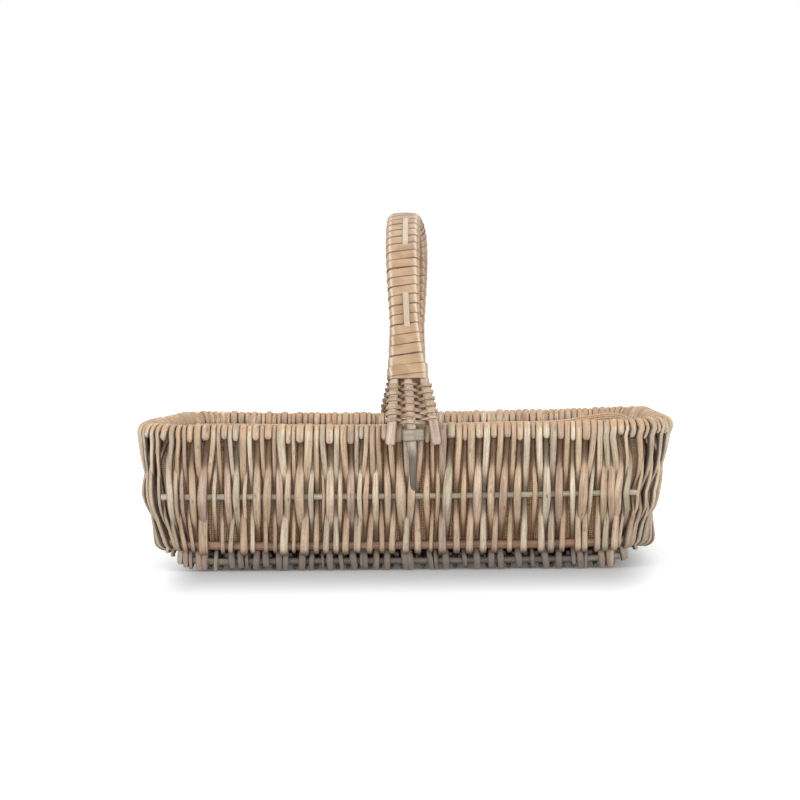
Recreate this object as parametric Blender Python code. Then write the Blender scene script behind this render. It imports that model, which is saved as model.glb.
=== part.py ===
"""A garden trug: a shallow willow basket with a lining and a fixed bow handle bound with cane.

Willow strands are woven round a rim hoop, a mid rib and a base hoop. They alternate, so that where one
strand passes outside a rib its neighbours pass inside it. Each strand here stands for a few thin rods
that lie side by side. Sizes are in metres. X runs along the basket, Y across it, and Z up from the table.
"""

import math

import bmesh
import bpy
from mathutils import Vector

# Outside of the basket at its rim, and the heights above the table.
LENGTH = 0.476
WIDTH = 0.300
RIM_HEIGHT = 0.128
HANDLE_HEIGHT = 0.320
CORNER_RADIUS = 0.050
FLARE = 0.014
CLEARANCE = 0.0003

# The rods that the weave goes round.
RIM_HOOP_DIAMETER = 0.0090
MID_RIB_DIAMETER = 0.0058
MID_RIB_HEIGHT = 0.0650
SIDE_RIB_OVERRUN = 0.0130
END_RIB_OVERRUN = 0.0040
BASE_HOOP_DIAMETER = 0.0080
BASE_HOOP_HEIGHT = 0.0235
BASE_RIB_DIAMETER = 0.0062
BASE_RIB_OVERRUN = 0.0060
BASE_RIBS = 5

# The willow strands. A width share is half a strand's width as a share of the pitch.
STRAND_THICKNESS = 0.0042
STRANDS_PER_QUARTER = 25
SHORT_LOOP_DROP = 0.0055
CROWN_SHARE = 0.34
FLANK_SHARE = 0.47
VALLEY_SHARE = 0.40
BEND_SHARE = 1.10

# The bow handle: three sticks side by side, spread apart at both feet. The bow stands a little aside,
# and its legs are askew: the front foot is set off towards +X and the back foot as far towards -X.
STICK_DIAMETER = 0.0085
STICK_TIP_DIAMETER = 0.0046
STICK_FOOT_HEIGHT = 0.1105
TAPER_SHARES = (0.75, 0.50, 0.25, 0)
FOOT_SPREAD = 0.0194
SPREAD_LENGTH = 0.115
SPREAD_POWER = 1.5
BOW_POWER = 2.1
BOW_ASIDE = -0.0025
BOW_SKEW = 0.0100
SKEW_POWER = 3
TAIL_TIP_SHARE = 0.20
BOW_STEPS = 24

# The flat cane wound round the bow from each foot up to the top, and the strips laced over it. The
# edge and face shares say where its oval turns, as shares of its height over the sticks' middles.
CANE_THICKNESS = 0.0012
CANE_PITCH = 0.0098
CANE_GAP = 0.0007
CANE_EDGE_SHARE = 0.45
CANE_FACE_SHARE = 0.60
BINDING_FOOT_HEIGHT = 0.1655
LACE_WIDTH = 0.0060
LACE_SLIT = 0.0008
TOP_LACE_START = 0.030
TOP_LACE_LENGTH = 0.038
LEG_LACE_HEIGHT = 0.2140
LEG_LACE_LENGTH = 0.0280

# The fine willow woven over the three sticks at each foot, in as many rows as fit between the binding
# and the rim. It lies flat over a share of each stick, and drops by a share of the row pitch while it
# crosses them.
FOOT_ROD_DIAMETER = 0.0030
FOOT_ROW_PITCH = 0.0036
FOOT_RIM_GAP = 0.0015
FOOT_FLAT_SHARE = 0.40
FOOT_DROP_SHARE = 0.70

# The hessian lining with its folded hem.
LINING_THICKNESS = 0.0012
LINING_HEM_THICKNESS = 0.0024
LINING_HEM_DEPTH = 0.0120
LINING_TOP_HEIGHT = 0.1215
LINING_FLOOR_RADIUS = 0.0080
LINING_CLEARANCE = 0.0009

# Sides of a round rod and steps round a corner of the basket.
ROD_SIDES = 8
CORNER_STEPS = 6

# Places that follow from the sizes above. A strand bends round a rod in 60 degree steps.
STEP = math.radians(60)
REACH = RIM_HOOP_DIAMETER / 2 + CLEARANCE + STRAND_THICKNESS / 2
RIM_TURN = REACH / math.cos(STEP / 2)
RIM_REACH = RIM_TURN + STRAND_THICKNESS / 2 / math.cos(STEP / 2)
HOOP_CORNER = CORNER_RADIUS - RIM_REACH
HOOP_HEIGHT = RIM_HEIGHT - REACH - STRAND_THICKNESS / 2
STRAIGHT_X = LENGTH / 2 - CORNER_RADIUS
STRAIGHT_Y = WIDTH / 2 - CORNER_RADIUS
CORNER_RUN = HOOP_CORNER * math.pi / 2
QUARTER_RUN = STRAIGHT_X + CORNER_RUN + STRAIGHT_Y
PITCH = QUARTER_RUN / STRANDS_PER_QUARTER
CORNER_SAG = (HOOP_CORNER + REACH) * (1 - math.cos(PITCH / 2 / HOOP_CORNER))
BASE_RIB_HEIGHT = STRAND_THICKNESS + CLEARANCE + BASE_RIB_DIAMETER / 2
FRONT_STRANDS = math.floor(STRAIGHT_X / PITCH)
CORNER_STRANDS = math.floor((STRAIGHT_X + CORNER_RUN) / PITCH)
STICKS = (-1, 0, 1)
STICK_PITCH = STICK_DIAMETER + CLEARANCE
CANE_SEAT = STICK_DIAMETER / 2 + 2 * CLEARANCE
BOW_REACH = WIDTH / 2 + CLEARANCE + STICK_DIAMETER / 2
BOW_FOOT = RIM_HEIGHT
BOW_TOP = HANDLE_HEIGHT - CANE_SEAT - CANE_THICKNESS


def clear_scene():
    for old in list(bpy.data.objects):
        bpy.data.objects.remove(old)


def finish(name):
    """A material with the colour and roughness of its kind of piece, by the first word that fits."""
    looks = {
        "rim_hoop": ((0.42, 0.29, 0.18), 0.7),
        "base_hoop": ((0.27, 0.13, 0.08), 0.6),
        "base_rib": ((0.33, 0.30, 0.25), 0.75),
        "mid_rib": ((0.30, 0.28, 0.22), 0.75),
        "weave": ((0.52, 0.40, 0.28), 0.7),
        "stick": ((0.46, 0.34, 0.23), 0.65),
        "binding": ((0.66, 0.46, 0.29), 0.45),
        "lace": ((0.70, 0.50, 0.32), 0.45),
        "lining": ((0.40, 0.27, 0.16), 0.95),
    }
    colour, roughness = next(look for word, look in looks.items() if word in name)
    material = bpy.data.materials.new(name)
    material.use_nodes = True
    shader = material.node_tree.nodes["Principled BSDF"]
    shader.inputs["Base Color"].default_value = (*colour, 1)
    shader.inputs["Roughness"].default_value = roughness
    shader.inputs["Metallic"].default_value = 0
    return material


def add_object(name, shape):
    """Puts a bmesh into the scene as one named piece with its own material."""
    bmesh.ops.recalc_face_normals(shape, faces=shape.faces)
    mesh = bpy.data.meshes.new(name)
    shape.to_mesh(mesh)
    shape.free()
    mesh.shade_smooth()
    mesh.set_sharp_from_angle(angle=math.radians(40))
    mesh.materials.append(finish(name))
    piece = bpy.data.objects.new(name, mesh)
    bpy.context.collection.objects.link(piece)
    return piece


def loft(shape, rings, closed=False):
    """Skins a list of rings of points. An open row of rings gets a flat cap at each end."""
    rows = [[shape.verts.new(point) for point in ring] for ring in rings]
    count = len(rows[0])
    pairs = list(zip(rows, rows[1:]))
    if closed:
        pairs.append((rows[-1], rows[0]))
    for low, high in pairs:
        for i in range(count):
            j = (i + 1) % count
            shape.faces.new((low[i], low[j], high[j], high[i]))
    if not closed:
        shape.faces.new(rows[0])
        shape.faces.new(rows[-1])


def plan(run, outward, bridging=False):
    """The plan point at a run round the rim hoop from the middle of the front, moved out from the hoop.

    Round a corner a flat strand bridges the hoop's bend, so outside the hoop it stands out further.
    """
    run = run % (4 * QUARTER_RUN)
    across = -1
    along = 1
    if run > 2 * QUARTER_RUN:
        run = 4 * QUARTER_RUN - run
        along = -1
    if run > QUARTER_RUN:
        run = 2 * QUARTER_RUN - run
        across = 1
    if bridging and outward > 0 and STRAIGHT_X < run < STRAIGHT_X + CORNER_RUN:
        outward += CORNER_SAG
    reach = HOOP_CORNER + outward
    turn = min(max((run - STRAIGHT_X) / CORNER_RUN, 0), 1) * math.pi / 2
    x = min(run, STRAIGHT_X) + reach * math.sin(turn)
    y = STRAIGHT_Y - max(run - STRAIGHT_X - CORNER_RUN, 0) + reach * math.cos(turn)
    return x * along, y * across


def place(run, outward, height):
    return Vector((*plan(run, outward), height))


def place_strand(run, outward, height):
    return Vector((*plan(run, outward, bridging=True), height))


def lean(height):
    """How far the wall's middle surface lies out from the rim hoop at a height: the wall flares upwards."""
    return -FLARE * (HOOP_HEIGHT - height) / HOOP_HEIGHT


def corner_runs():
    """Runs for a hoop: steps round each corner, and one long step along each side."""
    runs = []
    for quarter in range(4):
        start = STRAIGHT_X if quarter % 2 == 0 else STRAIGHT_Y
        for i in range(CORNER_STEPS + 1):
            runs.append(quarter * QUARTER_RUN + start + CORNER_RUN * i / CORNER_STEPS)
    return runs


def make_hoop(name, outward, height, diameter):
    """A round rod bent into a closed hoop with the basket's outline."""
    shape = bmesh.new()
    angles = [2 * math.pi * i / ROD_SIDES for i in range(ROD_SIDES)]
    radius = diameter / 2
    rings = []
    for run in corner_runs():
        ring = []
        for a in angles:
            ring.append(place(run, outward + radius * math.cos(a), height + radius * math.sin(a)))
        rings.append(ring)
    loft(shape, rings, closed=True)
    return add_object(name, shape)


def sweep(shape, path, radii, sides=ROD_SIDES):
    """A round rod along a path, with a radius at each point."""
    across = Vector((1, 0, 0)) if abs((path[1] - path[0]).normalized().x) < 0.9 else Vector((0, 1, 0))
    rings = []
    for i, (point, radius) in enumerate(zip(path, radii)):
        ahead = path[min(i + 1, len(path) - 1)]
        behind = path[max(i - 1, 0)]
        forward = (ahead - behind).normalized()
        side = (across - forward * across.dot(forward)).normalized()
        up = forward.cross(side)
        across = side
        ring = []
        for k in range(sides):
            a = 2 * math.pi * k / sides
            ring.append(point + side * radius * math.cos(a) + up * radius * math.sin(a))
        rings.append(ring)
    loft(shape, rings)


def make_rod(name, start, end, diameter):
    """A straight rod with cut ends."""
    shape = bmesh.new()
    sweep(shape, [start, end], [diameter / 2] * 2)
    return add_object(name, shape)


def make_mid_ribs():
    """Straight ribs half way up, one in each side. Their cut ends show at the corners."""
    y = STRAIGHT_Y + HOOP_CORNER + lean(MID_RIB_HEIGHT)
    x = STRAIGHT_X + HOOP_CORNER + lean(MID_RIB_HEIGHT)
    reach_x = STRAIGHT_X + SIDE_RIB_OVERRUN
    reach_y = STRAIGHT_Y + END_RIB_OVERRUN
    z = MID_RIB_HEIGHT
    for word, side in (("front", -1), ("back", 1)):
        ends = Vector((-reach_x, y * side, z)), Vector((reach_x, y * side, z))
        make_rod(f"mid_rib_{word}", *ends, MID_RIB_DIAMETER)
    for word, side in (("left", -1), ("right", 1)):
        ends = Vector((x * side, -reach_y, z)), Vector((x * side, reach_y, z))
        make_rod(f"mid_rib_{word}", *ends, MID_RIB_DIAMETER)


def base_rib_places():
    """Y of each rib under the base, evenly spaced from the front wall to the back wall."""
    outer = STRAIGHT_Y + HOOP_CORNER + lean(BASE_RIB_HEIGHT)
    return [outer * (2 * i / (BASE_RIBS - 1) - 1) for i in range(BASE_RIBS)]


def make_base_ribs():
    reach = FRONT_STRANDS * PITCH + PITCH / 2 + BASE_RIB_OVERRUN
    for i, y in enumerate(base_rib_places()):
        ends = Vector((-reach, y, BASE_RIB_HEIGHT)), Vector((reach, y, BASE_RIB_HEIGHT))
        make_rod(f"base_rib_{i + 1}", *ends, BASE_RIB_DIAMETER)


def turn_round(outward, height, turn, degrees):
    """Points of a strand's middle line where it bends round a rod, at angles up from straight out."""
    points = []
    for angle in degrees:
        a = math.radians(angle)
        points.append((outward + turn * math.cos(a), height + turn * math.sin(a)))
    return points


def passing(outward, height, diameter, side):
    """The point where a strand passes outside (1) or inside (-1) a rod."""
    stand_off = (diameter / 2 + CLEARANCE + STRAND_THICKNESS / 2) * BEND_SHARE
    return (outward + side * stand_off, height)


def long_profile():
    """A strand that comes over the rim, passes inside the mid rib, and turns under the base hoop.

    Each entry is a point of the middle line, with the width shares of its two faces. The first face is
    the one away from the rim hoop, which is also the outside of the wall. An entry with no shares is a
    place where the strand is joined to its neighbours.
    """
    start = turn_round(0, HOOP_HEIGHT, RIM_TURN, (240,))
    rim = turn_round(0, HOOP_HEIGHT, RIM_TURN, (180, 120, 60, 0))
    mid = [passing(lean(MID_RIB_HEIGHT), MID_RIB_HEIGHT, MID_RIB_DIAMETER, -1)]
    hoop = turn_round(lean(BASE_HOOP_HEIGHT), BASE_HOOP_HEIGHT, base_turn(), (0, -60, -120))
    free = (CROWN_SHARE, FLANK_SHARE)
    entries = [(point, free) for point in start]
    entries += [(point, None) for point in rim]
    entries += [(point, free) for point in mid + hoop]
    return entries


def base_turn():
    return (BASE_HOOP_DIAMETER / 2 + CLEARANCE + STRAND_THICKNESS / 2) / math.cos(STEP / 2)


def short_profile(reaches_table):
    """A strand that passes inside the base hoop, outside the mid rib, and ends as a short loop on the rim.

    Along the front and back it starts as a stub outside the lowest rib, and at the ends under the hoop.
    """
    if reaches_table:
        rib = passing(lean(BASE_RIB_HEIGHT), BASE_RIB_HEIGHT, BASE_RIB_DIAMETER, 1)
        foot = [(rib[0], 0), (rib[0], BASE_RIB_HEIGHT + BASE_RIB_DIAMETER / 2)]
        angles = (217, 180)
    else:
        foot = []
        angles = (240, 180)
    hoop = turn_round(lean(BASE_HOOP_HEIGHT), BASE_HOOP_HEIGHT, base_turn(), angles)
    mid = [passing(lean(MID_RIB_HEIGHT), MID_RIB_HEIGHT, MID_RIB_DIAMETER, 1)]
    rim = turn_round(0, HOOP_HEIGHT, RIM_TURN, (180, 120, 60, 0))
    loop_end = (rim[-1][0] - STRAND_THICKNESS / 4, HOOP_HEIGHT - SHORT_LOOP_DROP)
    entries = [(point, (FLANK_SHARE, CROWN_SHARE)) for point in foot + hoop + mid]
    entries += [(point, None) for point in rim]
    entries.append((loop_end, (CROWN_SHARE, FLANK_SHARE)))
    return entries


def face_points(entries):
    """For each entry, the points half a thickness to its left and right, square to the strand.

    Where a strand is joined, its section is square to the joined stretch alone, so that its neighbours
    have the same one.
    """
    points = [Vector(point) for point, _ in entries]
    joined = [shares is None for _, shares in entries]
    found = []
    for i, point in enumerate(points):
        ways = []
        if i > 0 and (joined[i - 1] or not joined[i]):
            ways.append((point - points[i - 1]).normalized())
        if i < len(points) - 1 and (joined[i + 1] or not joined[i]):
            ways.append((points[i + 1] - point).normalized())
        along = sum(ways, Vector((0, 0))).normalized()
        left = Vector((-along.y, along.x))
        offset = left * STRAND_THICKNESS / 2 / along.dot(ways[0])
        found.append((point + offset, point - offset))
    return found


def strand_ring(shape, seams, column, joint, faces, shares, put, limits):
    """Six corners of one section, in order round it. Where a strand is free, two pairs are one corner.

    Where it is joined, the seam to each neighbour has two corners, one on the far face and one in the
    valley between the two crowns. Both strands use the same ones, kept in seams by edge and joint.
    """
    near, far = faces

    def corner(across, point):
        across = min(max(across, limits[0]), limits[1])
        return shape.verts.new(put(across, point.x, point.y))

    if shares:
        crown_left = corner((column - shares[0]) * PITCH, near)
        crown_right = corner((column + shares[0]) * PITCH, near)
        right = corner((column + shares[1]) * PITCH, far)
        left = corner((column - shares[1]) * PITCH, far)
        return [crown_left, crown_right, right, right, left, left]
    crown_left = corner((column - CROWN_SHARE) * PITCH, near)
    crown_right = corner((column + CROWN_SHARE) * PITCH, near)
    pairs = []
    for edge in (column + 0.5, column - 0.5):
        if (edge, joint) not in seams:
            valley = corner(edge * PITCH, far.lerp(near, VALLEY_SHARE))
            seams[edge, joint] = valley, corner(edge * PITCH, far)
        pairs.append(seams[edge, joint])
    (valley_right, right), (valley_left, left) = pairs
    return [crown_left, crown_right, valley_right, right, left, valley_left]


def add_face(shape, corners):
    """A face from corners that may repeat. With fewer than three different ones there is none."""
    corners = [v for i, v in enumerate(corners) if v is not corners[i - 1]]
    if len(corners) > 2:
        shape.faces.new(corners)


def weave(name, first, last, profile_of, put):
    """Strands side by side as one body. They are joined where their entries have no shares."""
    limits = (first - 0.5) * PITCH + CLEARANCE / 2, (last + 0.5) * PITCH - CLEARANCE / 2
    shape = bmesh.new()
    seams = {}
    for column in range(first, last + 1):
        entries = profile_of(column)
        rings = []
        joint = 0
        for faces, (_, shares) in zip(face_points(entries), entries):
            ring = strand_ring(shape, seams, column, joint, faces, shares, put, limits)
            rings.append((ring, shares is None))
            joint += shares is None
        for (low, low_joined), (high, high_joined) in zip(rings, rings[1:]):
            inner = set()
            if low_joined and high_joined:
                inner = {2} if column < last else set()
                inner |= {4} if column > first else set()
            for i in range(len(low)):
                j = (i + 1) % len(low)
                if i not in inner:
                    add_face(shape, (low[i], low[j], high[j], high[i]))
        add_face(shape, rings[0][0])
        add_face(shape, rings[-1][0])
    return add_object(name, shape)


def wall_profile(column):
    """Long and short strands take turns. At the ends and corners the short ones stop at the base hoop."""
    half = 2 * STRANDS_PER_QUARTER
    from_middle = abs((column + half // 2) % half - half // 2)
    if column % 2 == 0:
        return long_profile()
    return short_profile(from_middle <= FRONT_STRANDS)


def make_wall(name, first, last):
    """One stretch of the woven wall, from one strand to another, counted from the middle of the front."""
    return weave(name, first, last, wall_profile, place_strand)


def make_walls():
    """Four sides and four corners. The strands run on evenly from one to the next."""
    quarter = STRANDS_PER_QUARTER
    front = FRONT_STRANDS
    corner = CORNER_STRANDS
    make_wall("weave_front", -front, front)
    make_wall("weave_corner_front_right", front + 1, corner)
    make_wall("weave_right", corner + 1, 2 * quarter - corner - 1)
    make_wall("weave_corner_back_right", 2 * quarter - corner, 2 * quarter - front - 1)
    make_wall("weave_back", 2 * quarter - front, 2 * quarter + front)
    make_wall("weave_corner_back_left", 2 * quarter + front + 1, 2 * quarter + corner)
    make_wall("weave_left", 2 * quarter + corner + 1, 4 * quarter - corner - 1)
    make_wall("weave_corner_front_left", 4 * quarter - corner, 4 * quarter - front - 1)


def base_profile(column):
    """A strand across the base, under (-1) or over (1) each rib in turn, from the front to the back.

    Its neighbours pass each rib on the other side. They are joined half way between two ribs.
    """
    level = BASE_RIB_HEIGHT
    stand_off = BASE_RIB_DIAMETER / 2 + CLEARANCE + STRAND_THICKNESS / 2
    flat = BASE_RIB_DIAMETER / 2
    free = (FLANK_SHARE, CROWN_SHARE)
    ribs = base_rib_places()
    ends = (0, len(ribs) - 1)
    side = -1 if column % 2 == 0 else 1
    entries = []
    for i, y in enumerate(ribs):
        if side < 0:
            entries.append(((y - flat, level - stand_off), free))
            entries.append(((y + flat, level - stand_off), free))
        elif i in ends:
            inward = y - math.copysign(BASE_RIB_DIAMETER, y)
            entries.append(((inward, level + stand_off), free))
        else:
            entries.append(((y, level + stand_off * BEND_SHARE), free))
        if i == len(ribs) // 2:
            halfway = (y + ribs[i + 1]) / 2
            entries.append(((halfway - flat, level), None))
            entries.append(((halfway + flat, level), None))
        side = -side
    return entries


def place_base(across, y, height):
    return Vector((across, y, height))


def make_base():
    """The woven base. Where strands pass under a rib they are flat, and the basket rests on them."""
    return weave("weave_base", -FRONT_STRANDS, FRONT_STRANDS, base_profile, place_base)


def bow_line():
    """The bow seen from its side, as evenly stepped (distance, y, z), from the front foot to the back."""
    rise = BOW_TOP - BOW_FOOT
    outline = [(-BOW_REACH, STICK_FOOT_HEIGHT)]
    for i in range(BOW_STEPS + 1):
        y = BOW_REACH * (2 * i / BOW_STEPS - 1)
        outline.append((y, BOW_FOOT + rise * (1 - abs(y / BOW_REACH) ** BOW_POWER)))
    outline.append((BOW_REACH, STICK_FOOT_HEIGHT))
    distances = [0.0]
    for (y0, z0), (y1, z1) in zip(outline, outline[1:]):
        distances.append(distances[-1] + math.hypot(y1 - y0, z1 - z0))
    return distances, outline


BOW_DISTANCES, BOW_OUTLINE = bow_line()
BOW_LENGTH = BOW_DISTANCES[-1]


def bow_at(distance):
    """The (y, z) point of the bow at a distance from its front foot."""
    distance = min(max(distance, 0), BOW_LENGTH)
    i = 1
    while BOW_DISTANCES[i] < distance and i < len(BOW_DISTANCES) - 1:
        i += 1
    span = BOW_DISTANCES[i] - BOW_DISTANCES[i - 1]
    share = (distance - BOW_DISTANCES[i - 1]) / span
    return Vector(BOW_OUTLINE[i - 1]).lerp(Vector(BOW_OUTLINE[i]), share)


def askew(y):
    """How far the bow is set off the middle, for each place from its back foot to its front foot."""
    return BOW_ASIDE - BOW_SKEW * (y / BOW_REACH) ** SKEW_POWER


def bow_place(distance, x, outward):
    """A point beside the bow: x across the handle, and outward away from the space under it."""
    step = STICK_DIAMETER / 2
    along = (bow_at(distance + step) - bow_at(distance - step)).normalized()
    middle = bow_at(distance)
    point = middle + Vector((-along.y, along.x)) * outward
    return Vector((x + askew(middle.x), point.x, point.y))


def spread_at(distance):
    """How far the side sticks lie from the middle one: side by side on top, and spread at the feet."""
    from_foot = min(distance, BOW_LENGTH - distance)
    share = max(1 - from_foot / SPREAD_LENGTH, 0) ** SPREAD_POWER
    return STICK_PITCH + (FOOT_SPREAD - STICK_PITCH) * share


def make_side_stick(name, side):
    path = [bow_place(d, side * spread_at(d), 0) for d in BOW_DISTANCES]
    shape = bmesh.new()
    sweep(shape, path, [STICK_DIAMETER / 2] * len(path))
    return add_object(name, shape)


def stick_tail(side):
    """The middle stick below the rim: it tapers, lies on a long strand and ends above the mid rib."""
    rim_point, rib_point = (Vector(long_profile()[i][0]) for i in (4, 5))
    slope = (rim_point - rib_point).normalized().y
    top_radius = STICK_DIAMETER / 2
    tip_radius = STICK_TIP_DIAMETER / 2
    tip_height = MID_RIB_HEIGHT + MID_RIB_DIAMETER / 2 + CLEARANCE + tip_radius
    points = []
    for share in TAPER_SHARES:
        radius = tip_radius + (top_radius - tip_radius) * share
        height = tip_height + (STICK_FOOT_HEIGHT - tip_height) * share
        level = (height - rib_point.y) / (rim_point.y - rib_point.y)
        strand = rib_point.x + (rim_point.x - rib_point.x) * level
        outward = strand + (STRAND_THICKNESS / 2 + CLEARANCE + radius) / slope
        x = askew(side * BOW_REACH) * (TAIL_TIP_SHARE + (1 - TAIL_TIP_SHARE) * share)
        points.append((Vector((x, side * (STRAIGHT_Y + HOOP_CORNER + outward), height)), radius))
    return points


def make_middle_stick():
    front = stick_tail(-1)
    back = stick_tail(1)
    path = [point for point, _ in reversed(front)]
    radii = [radius for _, radius in reversed(front)]
    path += [bow_place(d, 0, 0) for d in BOW_DISTANCES]
    radii += [STICK_DIAMETER / 2] * len(BOW_DISTANCES)
    path += [point for point, _ in back]
    radii += [radius for _, radius in back]
    shape = bmesh.new()
    sweep(shape, path, radii)
    return add_object("bow_stick_middle", shape)


def distance_at_height(height):
    """The distance from the front foot at which the bow first reaches a height."""
    low = 0
    high = BOW_LENGTH / 2
    for _ in range(40):
        middle = (low + high) / 2
        if bow_at(middle).y < height:
            low = middle
        else:
            high = middle
    return low


def round_sticks(turn, distance, lift):
    """A corner of the flat oval round the three sticks. turn counts the eight corners, round and round."""
    thick = CANE_SEAT + CANE_THICKNESS / 2 + lift
    wide = spread_at(distance) + thick
    edge = CANE_EDGE_SHARE * thick
    face = wide - CANE_FACE_SHARE * thick
    corners = (
        (-wide, edge),
        (-face, thick),
        (face, thick),
        (wide, edge),
        (wide, -edge),
        (face, -thick),
        (-face, -thick),
        (-wide, -edge),
    )
    return corners[turn % len(corners)]


def make_binding(name, start, end):
    """Flat cane wound round the sticks in one unbroken strip, from one distance along the bow to another."""
    corners = 8
    width = CANE_PITCH - CANE_GAP
    first = start + width / 2
    steps = math.floor((end - width / 2 - first) / CANE_PITCH * corners)
    advance = (end - width / 2 - first) / steps
    rings = []
    for i in range(steps + 1):
        middle = first + advance * i
        ring = []
        for way, lift in ((-1, -1), (1, -1), (1, 1), (-1, 1)):
            x, outward = round_sticks(i, middle, lift * CANE_THICKNESS / 2)
            ring.append(bow_place(middle + way * width / 2, x, outward))
        rings.append(ring)
    shape = bmesh.new()
    loft(shape, rings)
    print(name, "least gap between turns, mm:", round(1000 * (advance * corners - width), 2))
    return add_object(name, shape)


def make_bindings():
    foot = distance_at_height(BINDING_FOOT_HEIGHT)
    middle = BOW_LENGTH / 2
    make_binding("binding_front", foot, middle - CANE_GAP / 2)
    make_binding("binding_back", middle + CANE_GAP / 2, BOW_LENGTH - foot)


def make_lace(name, start, length, slit):
    """A strip of cane laced along the handle over the binding."""
    lift = CANE_SEAT + CANE_THICKNESS + CLEARANCE
    steps = math.ceil(length / CANE_PITCH * 2)
    half = LACE_WIDTH / 2
    rings = []
    for i in range(steps + 1):
        d = start + length * i / steps
        low = lift
        high = lift + CANE_THICKNESS
        groove = high - slit
        ring = [bow_place(d, -half, low), bow_place(d, half, low), bow_place(d, half, high)]
        ring += [bow_place(d, 0, groove), bow_place(d, -half, high)]
        rings.append(ring)
    shape = bmesh.new()
    loft(shape, rings)
    return add_object(name, shape)


def make_laces():
    make_lace("lace_top", BOW_LENGTH / 2 - TOP_LACE_START - TOP_LACE_LENGTH, TOP_LACE_LENGTH, LACE_SLIT)
    make_lace("lace_leg", distance_at_height(LEG_LACE_HEIGHT), LEG_LACE_LENGTH, 0)


def make_foot_weave(name, mirrored):
    """Fine willow woven over and under the three sticks, row by row, in one unbroken rod."""
    radius = FOOT_ROD_DIAMETER / 2
    stand_off = STICK_DIAMETER / 2 + CLEARANCE + radius
    flat = STICK_DIAMETER * FOOT_FLAT_SHARE
    top = distance_at_height(BINDING_FOOT_HEIGHT) - CLEARANCE - radius
    bottom = distance_at_height(RIM_HEIGHT + FOOT_RIM_GAP)
    rows = math.floor((top - bottom) / FOOT_ROW_PITCH)
    path = []
    for row in range(rows):
        way = 1 if row % 2 == 0 else -1
        start = top - row * FOOT_ROW_PITCH
        passes = []
        for i in STICKS:
            face = 1 if (i % 2 == 0) == (row % 2 == 0) else -1
            for part in (-1, 1):
                share = (i + 1 + (part * flat / stand_off + 1) / 2) / len(STICKS)
                distance = start - FOOT_ROW_PITCH * FOOT_DROP_SHARE * share
                x = way * i * spread_at(distance) + way * part * flat
                passes.append((distance, x, face * stand_off))
        distance = passes[-1][0] - FOOT_ROW_PITCH * (1 - FOOT_DROP_SHARE) / len(STICKS)
        turn_x = way * (spread_at(distance) + stand_off + CLEARANCE)
        path += passes
        if row < rows - 1:
            path.append((distance, turn_x, 0))
    points = []
    for distance, x, outward in path:
        if mirrored:
            distance = BOW_LENGTH - distance
        points.append(bow_place(distance, x, outward))
    shape = bmesh.new()
    sweep(shape, points, [radius] * len(points), sides=6)
    return add_object(name, shape)


def make_lining():
    """A hessian tray inside the weave, with a folded hem round its top."""
    top_out = -RIM_REACH - CLEARANCE
    floor = BASE_RIB_HEIGHT + BASE_RIB_DIAMETER / 2 + STRAND_THICKNESS * BEND_SHARE + LINING_CLEARANCE
    low_out = lean(BASE_HOOP_HEIGHT) - base_turn() - STRAND_THICKNESS - CLEARANCE
    knee = floor + LINING_FLOOR_RADIUS
    hem = LINING_TOP_HEIGHT - LINING_HEM_DEPTH
    hem_out = top_out + (low_out - top_out) * (LINING_TOP_HEIGHT - hem) / (LINING_TOP_HEIGHT - knee)
    thick = LINING_THICKNESS
    profile = (
        (low_out - LINING_FLOOR_RADIUS, floor),
        (low_out, knee),
        (top_out, LINING_TOP_HEIGHT),
        (top_out - LINING_HEM_THICKNESS, LINING_TOP_HEIGHT),
        (hem_out - LINING_HEM_THICKNESS, hem),
        (hem_out - thick, hem),
        (low_out - thick, knee + thick),
        (low_out - LINING_FLOOR_RADIUS - thick, floor + thick),
    )
    shape = bmesh.new()
    loft(shape, [[place(run, *point) for run in corner_runs()] for point in profile])
    return add_object("lining", shape)


def main():
    clear_scene()
    make_hoop("rim_hoop", 0, HOOP_HEIGHT, RIM_HOOP_DIAMETER)
    make_hoop("base_hoop", lean(BASE_HOOP_HEIGHT), BASE_HOOP_HEIGHT, BASE_HOOP_DIAMETER)
    make_mid_ribs()
    make_base_ribs()
    make_walls()
    make_base()
    make_side_stick("bow_stick_left", -1)
    make_middle_stick()
    make_side_stick("bow_stick_right", 1)
    make_bindings()
    make_laces()
    make_foot_weave("foot_weave_front", False)
    make_foot_weave("foot_weave_back", True)
    make_lining()


main()
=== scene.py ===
"""The garden trug as it is put together, from its hoops to its stitches, then the studio it stands in.

Sizes are in metres. X runs along the basket, Y from its front to its back, and Z up from the table.
"""

import math
import random

import bmesh
import bpy
from mathutils import Matrix, Vector, noise


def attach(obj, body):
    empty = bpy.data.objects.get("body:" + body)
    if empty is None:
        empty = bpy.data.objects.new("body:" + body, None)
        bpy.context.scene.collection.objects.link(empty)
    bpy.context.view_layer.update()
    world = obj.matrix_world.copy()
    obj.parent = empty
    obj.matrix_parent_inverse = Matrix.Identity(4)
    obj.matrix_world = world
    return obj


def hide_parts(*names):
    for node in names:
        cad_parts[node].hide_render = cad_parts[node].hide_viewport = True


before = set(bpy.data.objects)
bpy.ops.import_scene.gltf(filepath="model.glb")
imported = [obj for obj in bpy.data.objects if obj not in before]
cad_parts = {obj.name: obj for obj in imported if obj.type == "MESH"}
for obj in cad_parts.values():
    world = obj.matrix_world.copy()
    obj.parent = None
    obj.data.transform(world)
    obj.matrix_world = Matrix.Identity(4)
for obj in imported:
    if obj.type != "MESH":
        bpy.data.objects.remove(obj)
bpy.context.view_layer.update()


# The rim hoop. One thick willow rod bent into a rounded rectangle, its ends shaved and nailed together.
# The weavers hide nearly all of it. Every other piece of the wall is placed from it: how far along the
# hoop, how far out from it, and how high.
STRAIGHT_X = 0.188
STRAIGHT_Y = 0.100
HOOP_CORNER = 0.0396
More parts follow.
